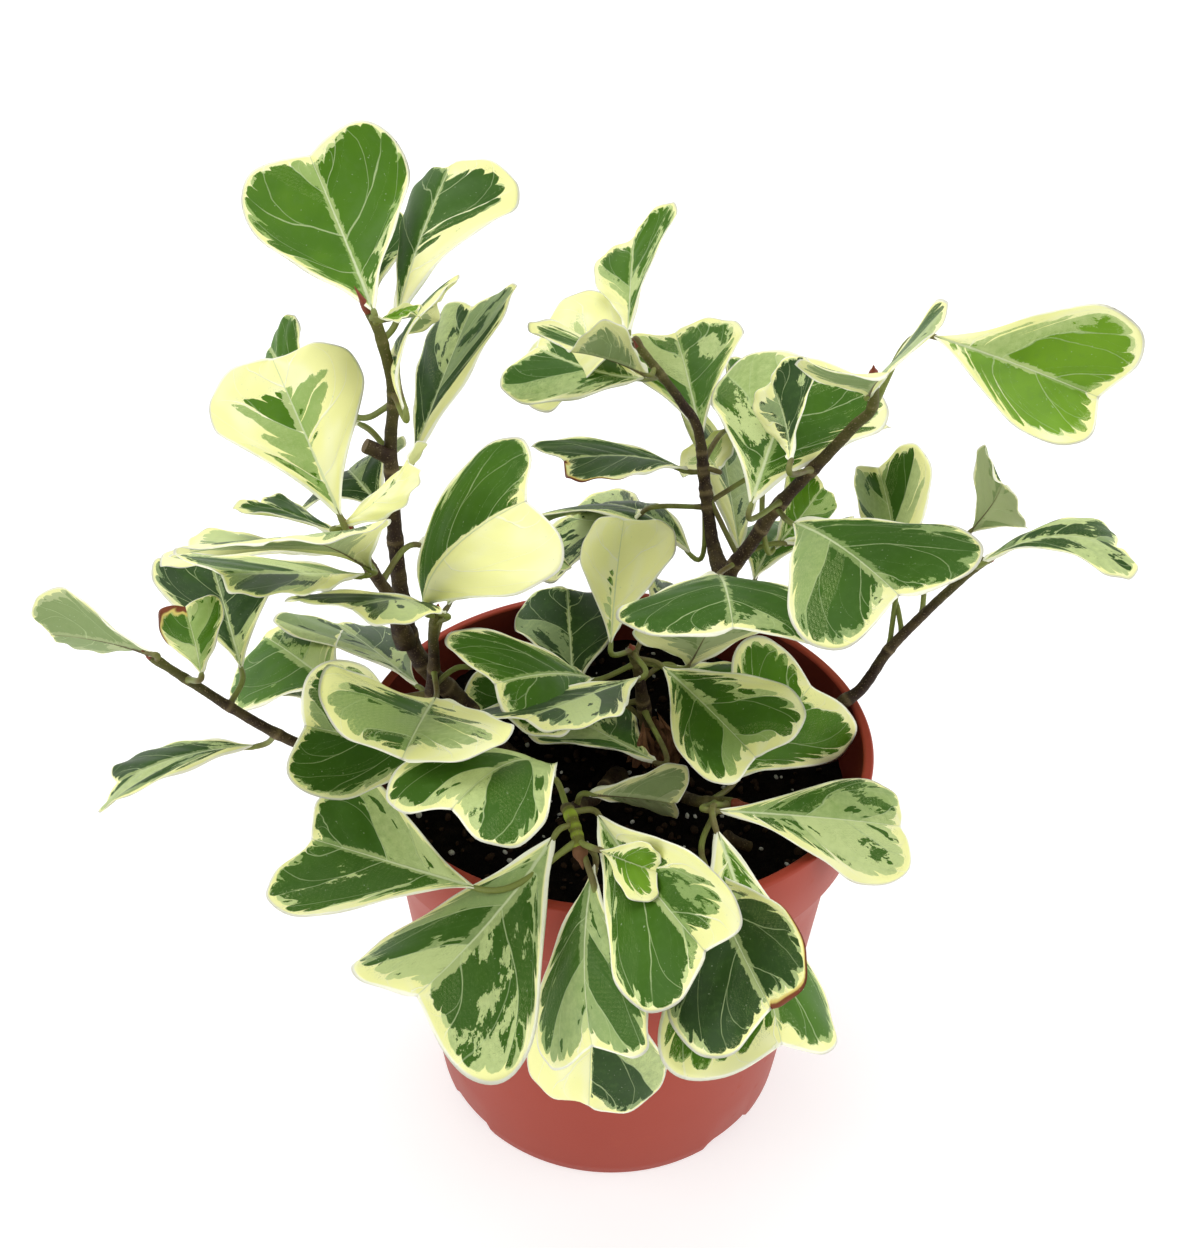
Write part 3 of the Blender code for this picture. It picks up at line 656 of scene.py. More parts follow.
def leaf_material(name, under):
    """The blade's upper or under side."""
    shader = Shader(name)
    zones = leaf_zones(shader)
    place = shader.place()
    mottled = shader.noise(place, 500.0, 3.0, 0.6)
    broad = shader.noise(place, 70.0, 2.0, 0.5)
    tone = shader.plus(shader.value("tone"), shader.scaled(broad, 0.6, -0.3))
    green = shader.mix(shader.step(tone, -0.35, 0.1), VIVID_GREEN, FRESH_GREEN)
    green = shader.mix(shader.step(tone, 0.0, 0.5), green, MIDDLE_GREEN)
    green = shader.mix(shader.step(tone, 0.5, 1.0), green, DEEP_GREEN)
    flecks = shader.times(shader.step(mottled, 0.45, 0.8), 0.25)
    green = shader.mix(flecks, green, FLECK)
    sage = shader.mix(shader.step(tone, 0.1, 0.9), FRESH_SAGE, DULL_SAGE)
    light = shader.scaled(mottled, 0.7, zones["light"])
    sage = shader.mix(shader.step(light, 0.45, 1.25), sage, PALE_SAGE)
    pale = shader.mix(shader.step(zones["cloud"], 0.4, 0.7), CREAM, MILKY_CREAM)
    rim = shader.step(zones["inset"], 0.034, 0.018)
    if under:
        green = shader.mix(shader.times(mottled, 0.3), UNDER_GREEN, UNDER_MOTTLE)
        sage = UNDER_SAGE
        pale = UNDER_CREAM
    color = shader.mix(zones["sage"], green, sage)
    color = shader.mix(zones["cream"], color, pale)
    vein_color = shader.mix(zones["cream"], VEIN, IVORY)
    color = shader.mix(shader.times(zones["vein"], 0.7), color, vein_color)
    rib_color = MIDRIB
    if under:
        rib_color = shader.mix(shader.step(zones["along"], 0.55, 1.0), UNDER_RIB, UNDER_RIB_TIP)
    color = shader.mix(shader.times(zones["midrib"], 0.8), color, rib_color)
    # The outermost rim: its pale edge, whitened further as painted light against the shade on the edge
    # faces.
    color = shader.mix(rim, color, IVORY)
    reach = shader.times(shader.value("burn"), shader.step(zones["along"], 0.35, 0.8))
    reach = shader.times(reach, shader.scaled(zones["cloud"], 2.0, -0.3))
    reach = shader.times(reach, shader.step(zones["side"], -0.5, 0.5))
    color = shader.mix(shader.step(zones["inset"], reach, shader.times(reach, 0.6)), color, YELLOWED)
    dead = shader.times(reach, 0.6)
    color = shader.mix(shader.step(zones["inset"], dead, shader.times(dead, 0.6)), color, SCORCHED)
    speck = shader.step(shader.noise(place, 1400.0, 1.0, 0.5), 0.74, 0.78)
    color = shader.mix(shader.times(speck, 0.4), color, SPECK)
    sunk = shader.most(zones["midrib"], zones["vein"])
    height = shader.scaled(sunk, 1.2 if under else -1.2, shader.times(mottled, 0.5))
    shader.bump(height, 0.00015, 0.6)
    rough = shader.scaled(mottled, 0.14, 0.52 if under else 0.38)
    return shader.finish(color, rough, Specular_IOR_Level=0.12)


def bark_material():
    """Thin brown bark with olive patches, paler rings at the nodes and small pores."""
    shader = Shader("bark")
    place = shader.place()
    patch = shader.noise(place, 130.0, 3.0, 0.6)
    grain = shader.noise(place, 900.0, 4.0, 0.7)
    color = shader.mix(shader.step(patch, 0.42, 0.62), (0.030, 0.015, 0.008), (0.072, 0.050, 0.018))
    streaks = shader.times(shader.step(grain, 0.5, 0.8), 0.4)
    color = shader.mix(streaks, color, (0.16, 0.11, 0.055))
    color = shader.mix(shader.times(shader.value("ring"), 0.6), color, (0.24, 0.18, 0.085))
    color = shader.mix(shader.value("young"), color, (0.115, 0.125, 0.022))
    color = shader.mix(shader.value("shoot"), color, (0.27, 0.36, 0.03))
    ringed = shader.times(shader.value("ring"), shader.value("shoot"))
    color = shader.mix(shader.times(ringed, 0.8), color, (0.09, 0.075, 0.015))
    pore = shader.step(shader.noise(place, 2300.0, 0.0, 0.5), 0.70, 0.76)
    color = shader.mix(shader.times(pore, 0.5), color, (0.30, 0.22, 0.12))
    shader.bump(shader.plus(grain, pore), 0.0003, 0.8)
    return shader.finish(color, shader.scaled(grain, 0.25, 0.50), Specular_IOR_Level=0.25)


def stalk_material():
    """The leaf stalks, green with a brown blush."""
    shader = Shader("stalk")
    place = shader.place()
    blush = shader.noise(place, 90.0, 2.0, 0.5)
    fine = shader.noise(place, 1100.0, 2.0, 0.6)
    color = shader.mix(shader.step(blush, 0.4, 0.65), (0.17, 0.21, 0.04), (0.095, 0.060, 0.022))
    color = shader.mix(shader.times(fine, 0.35), color, (0.34, 0.36, 0.12))
    shader.bump(fine, 0.0002, 0.5)
    return shader.finish(color, 0.48, Specular_IOR_Level=0.25)


def bud_material():
    """The pointed red-brown buds at the tips of the stems."""
    shader = Shader("bud")
    fine = shader.noise(shader.place(), 800.0, 2.0, 0.6)
    color = shader.mix(fine, (0.14, 0.018, 0.010), (0.30, 0.075, 0.032))
    shader.bump(fine, 0.0002, 0.5)
    return shader.finish(color, 0.42, Specular_IOR_Level=0.3)


def plastic_material(name, dark, light):
    """Terracotta-coloured moulded plastic: faint flow marks, fine grain and light scuffs."""
    shader = Shader(name)
    place = shader.place()
    cloud = shader.noise(place, 22.0, 3.0, 0.55)
    grain = shader.noise(place, 1800.0, 2.0, 0.6)
    scuff = shader.step(shader.noise(place, 160.0, 4.0, 0.7), 0.60, 0.72)
    color = shader.mix(cloud, dark, light)
    color = shader.mix(shader.times(scuff, 0.10), color, (0.50, 0.18, 0.13))
    shader.bump(shader.scaled(cloud, 0.5, grain), 0.00006, 0.5)
    rough = shader.scaled(scuff, 0.12, 0.42)
    return shader.finish(color, rough, Specular_IOR_Level=0.15)


def soil_material():
    """Damp peat: almost black, with brown fibres."""
    shader = Shader("soil")
    place = shader.place()
    clump = shader.noise(place, 240.0, 4.0, 0.7)
    fine = shader.noise(place, 1500.0, 3.0, 0.7)
    color = shader.mix(shader.step(clump, 0.4, 0.7), (0.0015, 0.0012, 0.0010), (0.008, 0.005, 0.0035))
    color = shader.mix(shader.times(shader.step(fine, 0.62, 0.8), 0.5), color, (0.035, 0.021, 0.013))
    shader.bump(shader.plus(clump, fine), 0.0008, 0.9)
    return shader.finish(color, 0.9, Specular_IOR_Level=0.06)


def chip_material():
    """Bits of bark in the soil."""
    shader = Shader("bark_chip")
    fine = shader.noise(shader.place(), 900.0, 3.0, 0.7)
    color = shader.mix(fine, (0.006, 0.0035, 0.002), (0.050, 0.027, 0.015))
    shader.bump(fine, 0.0004, 0.8)
    return shader.finish(color, 0.85, Specular_IOR_Level=0.1)


def grit_material():
    """White grains of perlite."""
    shader = Shader("perlite")
    fine = shader.noise(shader.place(), 1300.0, 3.0, 0.7)
    color = shader.mix(fine, (0.34, 0.33, 0.30), (0.66, 0.65, 0.61))
    shader.bump(fine, 0.0004, 0.7)
    return shader.finish(color, 0.9)


def floor_material():
    """White card, lit a little from below so that shadows on it stay faint."""
    shader = Shader("floor")
    return shader.finish((0.60, 0.60, 0.60), 0.9, Specular_IOR_Level=0.1,
                         Emission_Color=(1, 1, 1), Emission_Strength=FLOOR_GLOW)


def half_outline(shares):
    """Points on the blade's outline, from its base (0) round to the notch in its tip (1)."""
    knots = np.array(BLADE_HALF, dtype=float)
    knots = np.vstack([2 * knots[0] - knots[1], knots, 2 * knots[-1] - knots[-2]])
    place = shares * (len(knots) - 3)
    index = np.minimum(place.astype(int), len(knots) - 4)
    part = (place - index)[:, None]
    return catmull_rom(knots[index], knots[index + 1], knots[index + 2], knots[index + 3], part)


def blade_turn(shape):
    heading, rise, roll = (math.radians(shape[name]) for name in ("heading", "rise", "roll"))
    return Matrix.Rotation(heading, 3, "Z") @ Matrix.Rotation(-rise, 3, "Y") @ Matrix.Rotation(roll, 3, "X")


def blade_sheet(shape, rows, across, lift=None):
    """Places on the blade for arrays of rows and of across values, with the flat map they have."""
    side = np.abs(across)
    edge = half_outline(rows)
    along = (1 - side) * BLADE_NOTCH * rows ** MIDRIB_PACE + side * edge[:, 0]
    sideways = np.sign(across) * side * edge[:, 1]
    arch, fold, cup = (math.radians(angle) for angle in HABITS[shape["habit"]])
    arch = arch or TINY
    start = -arch / 2
    turn = start + arch * along
    reach = shape["length"] / arch
    bend = fold + cup * np.abs(sideways)
    half = sideways * shape["width"] / 2
    height = np.abs(half) * np.sin(bend)
    if lift is not None:
        height = height + lift
    local = np.stack([
        (np.sin(turn) - math.sin(start)) * reach + height * np.sin(turn),
        half * np.cos(bend),
        (np.cos(turn) - math.cos(start)) * reach + height * np.cos(turn),
    ], axis=1)
    turned = local @ np.array(blade_turn(shape)).T
    return np.array(shape["base"]) + turned, np.stack([along, sideways], axis=1)


def outline_distance(shape, flat):
    """Each place's distance from the blade's outline, in half widths."""
    scale = np.array([2 * shape["length"] / shape["width"], 1])
    edge = half_outline(np.linspace(0, 1, 121)) * scale
    edge = np.vstack([edge, edge[::-1] * (1, -1)])
    gaps = flat[:, None, :] * scale - edge[None, :, :]
    return np.sqrt((gaps ** 2).sum(axis=2)).min(axis=1)


def cream_width(shape, flat):
    """The width of the pale margin at each place, in half widths: wider round the notch."""
    along, sideways = flat[:, 0], flat[:, 1]
    left_base, left_tip, right_base, right_tip = shape["cream"]
    base = np.where(sideways > 0, left_base, right_base)
    tip = np.where(sideways > 0, left_tip, right_tip)
    margin = base + (tip - base) * smooth_step(along, 0.15, 0.85)
    notch = np.exp(-(sideways / 0.2) ** 2) * smooth_step(along, 0.7, 0.9)
    margin = np.where(margin < 0.3, 0.7 * margin, margin - 0.09)
    return margin + notch * (0.03 + 0.15 * (left_tip + right_tip))


def blade_relief(rows, across, chance):
    """How the blade leaves the plain sheet: wavy margin, then puffed fields and a sunk midrib."""
    side = np.abs(across)
    phase = chance.uniform(0, 6.3)
    wave = WAVE * side ** 2 * np.sin(2 * math.pi * (1.6 * rows + 0.23 * np.sign(across)) + phase)
    ripple = RIPPLE * side ** 3 * np.sin(2 * math.pi * 5.2 * rows + 2 * phase)
    field = np.abs(np.sin(math.pi * (VEINS * rows + 0.25)))
    puff = PUFF * field * (1 - side) * np.minimum(1, side * 5)
    sunk = -PUFF * np.exp(-(side / 0.05) ** 2) * (1 - 0.6 * rows)
    return wave + ripple, puff + sunk


def blade_mesh(shape, seed):
    """One closed blade: its upper and lower sheets share the outline."""
    chance = random.Random(seed)
    rows_count, columns = BLADE_ROWS, 2 * BLADE_COLUMNS
    row_line = np.linspace(0, 1, rows_count + 1)[1:-1]
    spread = np.linspace(-1, 1, columns + 1)
    spread = np.sign(spread) * np.abs(spread) ** 0.9
    rows = np.concatenate([[0], np.repeat(row_line, columns + 1), [1]])
    across = np.concatenate([[0], np.tile(spread, rows_count - 1), [0]])
    sway, relief = blade_relief(rows, across, chance)
    end = np.minimum(1, np.minimum(rows, 1 - rows) * 30)
    thick = BLADE_THICKNESS / 2 * np.sqrt(np.clip(1 - np.abs(across) ** 10, 0, 1)) * end
    sway, relief = sway * end, relief * end
    ridge = RIDGE * np.exp(-(np.abs(across) / 0.05) ** 2) * (1 - 0.7 * rows) * end
    rim = np.isclose(np.abs(across), 1)
    relief[rim] = 0
    ridge[rim] = 0
    top, flat = blade_sheet(shape, rows, across, sway + relief + thick)
    low, _ = blade_sheet(shape, rows, across, sway + relief - thick - ridge)
    count = len(rows)
    grid = np.zeros((rows_count + 1, columns + 1), dtype=int)
    grid[1:-1] = 1 + np.arange((rows_count - 1) * (columns + 1)).reshape(rows_count - 1, columns + 1)
    grid[-1] = count - 1
    shared = rim.copy()
    shared[0] = shared[-1] = True
    low_index = np.where(shared, np.arange(count), count + np.cumsum(~shared) - 1)
    points = np.vstack([top, low[~shared]])
    flat_points = np.vstack([flat, flat[~shared]])
    faces, own_map, bake_map, under = [], [], [], []
    ends = (0, rows_count)
    for row in range(rows_count):
        for column in range(columns):
            corners = [(row, column), (row + 1, column), (row + 1, column + 1), (row, column + 1)]
            if row == 0:
                corners = [(0, column), (1, column), (1, column + 1)]
            if row == rows_count - 1:
                corners = [(row, column), (row + 1, column), (row, column + 1)]
            middle = (spread[column] + spread[column + 1]) / 2
            marks = [(r / rows_count, (middle if r in ends else spread[c]) / 2 + 0.5) for r, c in corners]
            upper = [int(grid[r, c]) for r, c in corners]
            lower = [int(low_index[index]) for index in upper]
            faces += [tuple(upper[::-1]), tuple(lower)]
            own_map += marks[::-1] + marks
            place = [flat_points[index] for index in upper]
            bake_map += [(0, *point) for point in place[::-1]] + [(1, *point) for point in place]
            under += [0, 1]
    inset = outline_distance(shape, flat_points)
    inset[np.concatenate([rim | shared, np.zeros(len(points) - count, dtype=bool)])] = 0
    measured = {"inset": inset, "rib": np.abs(flat_points[:, 1]), "margin": cream_width(shape, flat_points)}
    return points, faces, own_map, bake_map, under, measured


def leaf_spray(name, node, shapes, first_seed, materials):
    """A few leaves as one piece, each with its own seed and share of colours."""
    points, faces, own_map, bake_map, under = [], [], [], [], []
    values = {key: [] for key in ("seed", "inset", "rib", "margin", "sage", "tone", "burn")}
    cells = 2 * len(shapes)
    for index, shape in enumerate(shapes):
        seed = first_seed + index
        part_points, part_faces, part_map, part_bake, part_under, measured = blade_mesh(shape, seed)
        start = len(points)
        points += [tuple(point) for point in part_points]
        faces += [tuple(start + corner for corner in face) for face in part_faces]
        own_map += part_map
        for lower, along, sideways in part_bake:
            column = 2 * index + lower
            inner = 1 - 2 * BAKE_MARGIN
            bake_map.append(((column + BAKE_MARGIN + inner * (sideways / 2 + 0.5)) / cells,
                             BAKE_MARGIN + inner * along))
        under += part_under
        for key in values:
            if key in measured:
                values[key] += list(measured[key])
            else:
                values[key] += [seed if key == "seed" else shape[key]] * len(part_points)
    piece = add_mesh(name, points, faces, materials, under)
    add_corner_map(piece.data, "OFBake", bake_map)
    add_corner_map(piece.data, "LeafSpace", own_map)
    for key, amounts in values.items():
        add_point_values(piece.data, key, amounts)
    ride(piece, "leaf", node)


def tube_rings(points, radii, sides, bumps=None):
    """The rings of a tube with a steady frame along the path; bumps add relief to each ring."""
    points = [Vector(point) for point in points]
    rings = []
    normal = None
    for index, point in enumerate(points):
        ahead = points[min(index + 1, len(points) - 1)] - points[max(index - 1, 0)]
        ahead.normalize()
        if normal is None:
            normal = ahead.orthogonal().normalized()
        normal = (normal - ahead * ahead.dot(normal)).normalized()
        binormal = ahead.cross(normal)
        ring = []
        for side in range(sides):
            angle = 2 * math.pi * side / sides
            radius = radii[index]
            if bumps is not None:
                radius += bumps(index, angle)
            ring.append(point + (normal * math.cos(angle) + binormal * math.sin(angle)) * radius)
        rings.append(ring)
    return rings


def ring_faces(ring_count, sides, start=0):
    """The faces of a tube of rings, with its two ends closed."""
    faces = []
    for ring in range(ring_count - 1):
        for side in range(sides):
            here = start + ring * sides
            there = here + sides
            after = (side + 1) % sides
            faces.append((here + side, here + after, there + after, there + side))
    faces.append(tuple(start + side for side in reversed(range(sides))))
    faces.append(tuple(start + (ring_count - 1) * sides + side for side in range(sides)))
    return faces


def limb_radii(spec, shares, length, nodes):
    """The limb's radius at each share: taper, flare at the soil, and a swelling at each node."""
    radii = []
    ring_marks = []
    for share in shares:
        taper = spec["radius"][0] + (spec["radius"][1] - spec["radius"][0]) * share
        flare = 1 + (ROOT_FLARE - 1) * max(0, 1 - share * length / FLARE_HEIGHT)
        swelling = sum(math.exp(-((share - node) * length / NODE_LENGTH) ** 2) for node in nodes)
        scar = sum(math.exp(-((share - node) * length / SCAR_LENGTH) ** 2) for node in nodes)
        radii.append(taper * flare * MM * (1 + 0.20 * min(1, swelling) - 0.07 * min(1, scar)))
        ring_marks.append(min(1, scar))
    return radii, ring_marks


def limb_nodes(spec, length):
    """Where the rings of old leaf nodes sit: one at each stalk, and more down the bare limb."""
    nodes = [shape["at"] for shape in spec["leaves"]]
    gap = NODE_GAP / length
    share = gap
    while share < spec["limb_end"]:
        nodes.append(share)
        share += gap
    share = spec.get("shoot", 1)
    while share < 1:
        nodes.append(share)
        share += SHOOT_RING / length
    return nodes


def limb_piece(name, node, spec, path, start, end, bark):
    """A stretch of limb with bark relief, from one share of its path to another."""
    _, length = path_stations(path)
    count = max(8, int((end - start) * length / LIMB_STEP))
    shares = [start + (end - start) * index / count for index in range(count + 1)]
    points = [point_at(path, share) for share in shares]
    nodes = limb_nodes(spec, length)
    radii, marks = limb_radii(spec, shares, length, nodes)
    if start == 0:
        inward = (points[0] - points[4]).normalized()
        points.insert(0, points[0] + inward * SUNK)
        radii.insert(0, radii[0])
        marks.insert(0, 0)
        shares.insert(0, 0)

    def bumps(index, angle):
        place = points[index] * 600 + Vector((math.cos(angle), math.sin(angle), 0)) * 1.4
        ridge = noise.noise(Vector((math.cos(angle) * 3, math.sin(angle) * 3, shares[index] * length * 90)))
        return radii[index] * (0.07 * noise.noise(place) + 0.05 * ridge)

    rings = tube_rings(points, radii, STEM_SIDES, bumps)
    verts = [vertex for ring in rings for vertex in ring]
    faces = ring_faces(len(rings), STEM_SIDES)
    piece = add_mesh(name, verts, faces, [bark])
    sprouting = spec.get("shoot", 1)
    values = {
        "ring": marks,
        "young": [max(0, min(1, (share - YOUNG_FROM) * 3.5)) * 0.8 for share in shares],
        "shoot": [1 if share > sprouting else 0 for share in shares],
    }
    for key, amounts in values.items():
        add_point_values(piece.data, key, [amount for amount in amounts for _ in range(STEM_SIDES)])
    ride(piece, "bark", node)


def bezier(a, b, c, d, t):
    s = 1 - t
    return a * s ** 3 + b * 3 * s * s * t + c * 3 * s * t * t + d * t ** 3


def stalk_rings(shape, root):
    """A leaf's stalk: a gentle curve out of the stem, into the blade and on under its midrib."""
    inside = Vector(blade_sheet(shape, np.array([STALK_REACH]), np.array([0.0]), -STALK_RADIUS)[0][0])
    base = Vector(shape["base"])
    towards = (inside - base).normalized()
    reach = (base - root).length
    out = (base - root).normalized()
    bend = base - towards * reach * 0.45
    points = [bezier(root, root + out * reach * 0.3, bend, base, step / STALK_STEPS)
              for step in range(STALK_STEPS + 1)]
    points += [base.lerp(inside, 0.5), inside]
    radii = []
    for index in range(len(points)):
        swell = 1.5 - 0.5 * min(1, index / 3)
        taper = 1
        if index > STALK_STEPS:
            taper = 0.7 if index == STALK_STEPS + 1 else 0.35
        radii.append(STALK_RADIUS * swell * taper)
    return tube_rings(points, radii, STALK_SIDES)


def stalks_piece(name, node, shapes, path, surface):
    """The stalks of a mass's leaves, as one piece."""
    verts, faces = [], []
    for shape in shapes:
        rings = stalk_rings(shape, point_at(path, shape["at"]))
        start = len(verts)
        verts += [vertex for ring in rings for vertex in ring]
        faces += ring_faces(len(rings), STALK_SIDES, start)
    piece = add_mesh(name, verts, faces, [surface])
    ride(piece, "leaf", node)


def bud_rings(place, direction, length, radius):
    """A pointed bud: rings that swell and close to a point."""
    points = [place + direction * length * index / BUD_STEPS for index in range(BUD_STEPS + 1)]
    shape = [(0.62 + 0.38 * math.sin(math.pi * min(1, 1.6 * t))) * (1 - t ** 2.2) + 0.02
             for t in (index / BUD_STEPS for index in range(BUD_STEPS + 1))]
    return tube_rings(points, [radius * part for part in shape], BUD_SIDES)


def rear_leaves(spec, path):
    """Leaves on the side away from the front, each drawn from its own seed."""
    leaves = []
    for toward, seed in spec["rear"]:
        chance = random.Random(seed)
        at = chance.uniform(spec["limb_end"] + REAR_START, REAR_END)
        heading = toward + chance.uniform(-REAR_FAN, REAR_FAN)
        direction = math.radians(heading)
        outward = Vector((math.cos(direction), math.sin(direction), REAR_LIFT))
        base = point_at(path, at) / MM + outward * chance.uniform(*REAR_STALK)
        length = chance.uniform(*REAR_LENGTH)
        rise = chance.uniform(*REAR_RISE)
        roll = chance.uniform(-REAR_ROLL, REAR_ROLL)
        habit = chance.choice(REAR_HABITS)
        cream = [chance.uniform(*REAR_CREAM) for _ in range(4)]
        leaves.append(leaf(at, base, heading, rise, roll, length, length * REAR_WIDTH, habit, cream,
                           chance.uniform(*REAR_SAGE), chance.uniform(*REAR_TONE)))
    return leaves


def build_plant(materials):
    """Every limb's bark, twigs, stalks, sprays of leaves, buds and sprouts."""
    seed = 1
    for spec in PLANT.values():
        path = smooth_path(spec["way"])
        shapes = spec["leaves"] + rear_leaves(spec, path)
        limb_piece(f"{spec['limb']}_bark", spec["limb"], spec, path, 0, spec["limb_end"], materials["bark"])
        limb_piece(f"{spec['mass']}_twig", spec["mass"], spec, path, spec["limb_end"], 1, materials["bark"])
        stalks_piece(f"{spec['mass']}_stalks", spec["mass"], shapes, path, materials["stalk"])
        for index in range(0, len(shapes), LEAVES_IN_SPRAY):
            group = shapes[index:index + LEAVES_IN_SPRAY]
            name = f"{spec['mass']}_spray_{index // LEAVES_IN_SPRAY + 1}"
            leaf_spray(name, spec["mass"], group, seed, [materials["leaf"], materials["leaf_under"]])
            seed += len(group)
        ahead = (path[-1] - path[-4]).normalized()
        dried = "shoot" in spec
        radius = spec["radius"][1] * (1.6 if dried else 1.05) * MM
        rings = bud_rings(path[-1] - ahead * 0.001, ahead, spec["bud"] * MM, radius)
        verts = [vertex for ring in rings for vertex in ring]
        surface = materials["dry" if dried else "bud"]
        bud = add_mesh(f"{spec['mass']}_bud", verts, ring_faces(len(rings), BUD_SIDES), [surface])
        ride(bud, "leaf", spec["mass"])
    for spec in PLANT.values():
        for number, shape in enumerate(spec.get("sprouts", ())):
            path = smooth_path(spec["way"])
            name = f"{spec['mass']}_sprout_{number + 1}"
            leaf_spray(name, spec["mass"], [shape], seed, [materials["leaf"], materials["leaf_under"]])
            stalks_piece(f"{name}_stalk", spec["mass"], [shape], path, materials["stalk"])
            seed += 1


def body_radius(height):
    """The pot's outer radius under the band, which tapers straight to its foot."""
    return POT_FOOT_RADIUS + (POT_BODY_TOP_RADIUS - POT_FOOT_RADIUS) * height / POT_HEIGHT


def arc(center, radius, start, end, steps=5):
    angles = [math.radians(start + (end - start) * step / steps) for step in range(steps + 1)]
    return [(center[0] + radius * math.cos(a), center[1] + radius * math.sin(a)) for a in angles]


def pot_profile():
    """(radius, height) points from the inside of the floor, over the rim, to the foot."""
    band_foot = POT_HEIGHT - BAND_HEIGHT
    inner_top = POT_RIM_RADIUS - RIM_FLAT
    fillet = RIM_ROUND
    corner = BAND_CORNER
    profile = [(0, POT_FLOOR), (body_radius(POT_FLOOR) - WALL, POT_FLOOR)]
    profile += [(body_radius(band_foot) - WALL, band_foot)]
    profile += arc((inner_top + fillet, POT_HEIGHT - fillet), fillet, 180, 90)
    profile += arc((POT_RIM_RADIUS - fillet, POT_HEIGHT - fillet), fillet, 90, 0)
    profile += arc((BAND_FOOT_RADIUS - corner, band_foot + corner), corner, 0, -90, 3)
    body_top = band_foot - BAND_STEP
    profile += [(body_radius(band_foot) + BAND_STEP, band_foot), (body_radius(band_foot), body_top)]
    for step in range(1, POT_BODY_ROWS):
        height = body_top * (1 - step / POT_BODY_ROWS)
        profile.append((body_radius(height), height))
    profile += [(body_radius(0.004), 0.004), (POT_FOOT_RADIUS, BAND_STEP), (POT_FOOT_RADIUS - BAND_STEP, 0)]
    profile += [(POT_FOOT_RADIUS - NOTCH_DEPTH, 0), (0, 0)]
    return profile


def notch_lift(angle):
    """How far the foot's edge is raised at an angle, in the drainage notches."""
    turn = 360 / NOTCH_COUNT
    off = (math.degrees(angle) - NOTCH_TURN + turn / 2) % turn - turn / 2
    along = abs(math.radians(off)) * POT_FOOT_RADIUS
    half = NOTCH_WIDTH / 2
    return NOTCH_HEIGHT * (1 - float(smooth_step(along, half - NOTCH_EDGE, half)))


def pot_piece(outside, inside):
    """The pot, whose inner wall is darker: painted shade."""
    profile = pot_profile()
    verts, faces, marks = [], [], []
    index_of = {}
    for row, (radius, height) in enumerate(profile):
        for step in range(POT_STEPS):
            if radius == 0 and step:
                index_of[row, step] = index_of[row, 0]
                continue
            angle = 2 * math.pi * step / POT_STEPS
            lift = 0
            if height < NOTCH_HEIGHT and radius > POT_FOOT_RADIUS - NOTCH_DEPTH + TINY:
                lift = max(0, notch_lift(angle) - height)
            index_of[row, step] = len(verts)
            verts.append((radius * math.cos(angle), radius * math.sin(angle), height + lift))
    for row in range(len(profile) - 1):
        for step in range(POT_STEPS):
            after = (step + 1) % POT_STEPS
            places = ((row, step), (row + 1, step), (row + 1, after), (row, after))
            corners = list(dict.fromkeys(index_of[place] for place in places))
            if len(corners) > 2:
                faces.append(corners[::-1])
                # The inner rows take the darker plastic: painted shade on the inside.
                marks.append(1 if row < POT_INNER_ROWS else 0)
    pot = add_mesh("nursery_pot", verts, faces, [outside, inside], marks)
    pot.data.set_sharp_from_angle(angle=math.radians(40))
    ride(pot, "plastic", "pot")


def soil_edge():
    """The radius of the pot's inside at the soil's surface."""
    band_foot = POT_HEIGHT - BAND_HEIGHT
    inner_foot = body_radius(band_foot) - WALL
    inner_top = POT_RIM_RADIUS - RIM_FLAT
    return inner_foot + (inner_top - inner_foot) * (SOIL_TOP - band_foot) / BAND_HEIGHT


def soil_height(x, y):
    """The soil's lumpy surface."""
    lump = noise.noise(Vector((x * 90, y * 90, 3.1)))
    crumb = noise.noise(Vector((x * 320, y * 320, 8.7)))
    grain = noise.noise(Vector((x * 900, y * 900, 1.9)))
    return SOIL_TOP - 0.0012 + SOIL_ROUGH * (0.8 * lump + 0.6 * crumb + 0.3 * grain)


def soil_piece(surface):
    """The filling of the pot: a lumpy surface and a plain underside on the pot's floor."""
    edge = soil_edge() - SOIL_GAP
    verts = [(0, 0, soil_height(0, 0))]
    for ring in range(1, SOIL_RINGS + 1):
        radius = edge * ring / SOIL_RINGS
        for step in range(SOIL_STEPS):
            angle = 2 * math.pi * step / SOIL_STEPS
            x, y = radius * math.cos(angle), radius * math.sin(angle)
            verts.append((x, y, soil_height(x, y)))
    low = POT_FLOOR + 0.0005
    low_edge = body_radius(low) - WALL - 0.0005
    for step in range(SOIL_STEPS):
        angle = 2 * math.pi * step / SOIL_STEPS
        verts.append((low_edge * math.cos(angle), low_edge * math.sin(angle), low))
    verts.append((0, 0, low))
    faces = []
    for step in range(SOIL_STEPS):
        after = (step + 1) % SOIL_STEPS
        faces.append((0, 1 + step, 1 + after))
        for ring in range(SOIL_RINGS):
            here = 1 + ring * SOIL_STEPS
            there = here + SOIL_STEPS
            faces.append((here + step, there + step, there + after, here + after))
        last = 1 + SOIL_RINGS * SOIL_STEPS
        faces.append((len(verts) - 1, last + after, last + step))
    soil = add_mesh("potting_soil", verts, faces, [surface])
    ride(soil, "soil", "soil")


CUBE_CORNERS = [(x, y, z) for x in (-1, 1) for y in (-1, 1) for z in (-1, 1)]
CUBE_FACES = [(0, 1, 3, 2), (4, 6, 7, 5), (0, 4, 5, 1), (2, 3, 7, 6), (0, 2, 6, 4), (1, 5, 7, 3)]


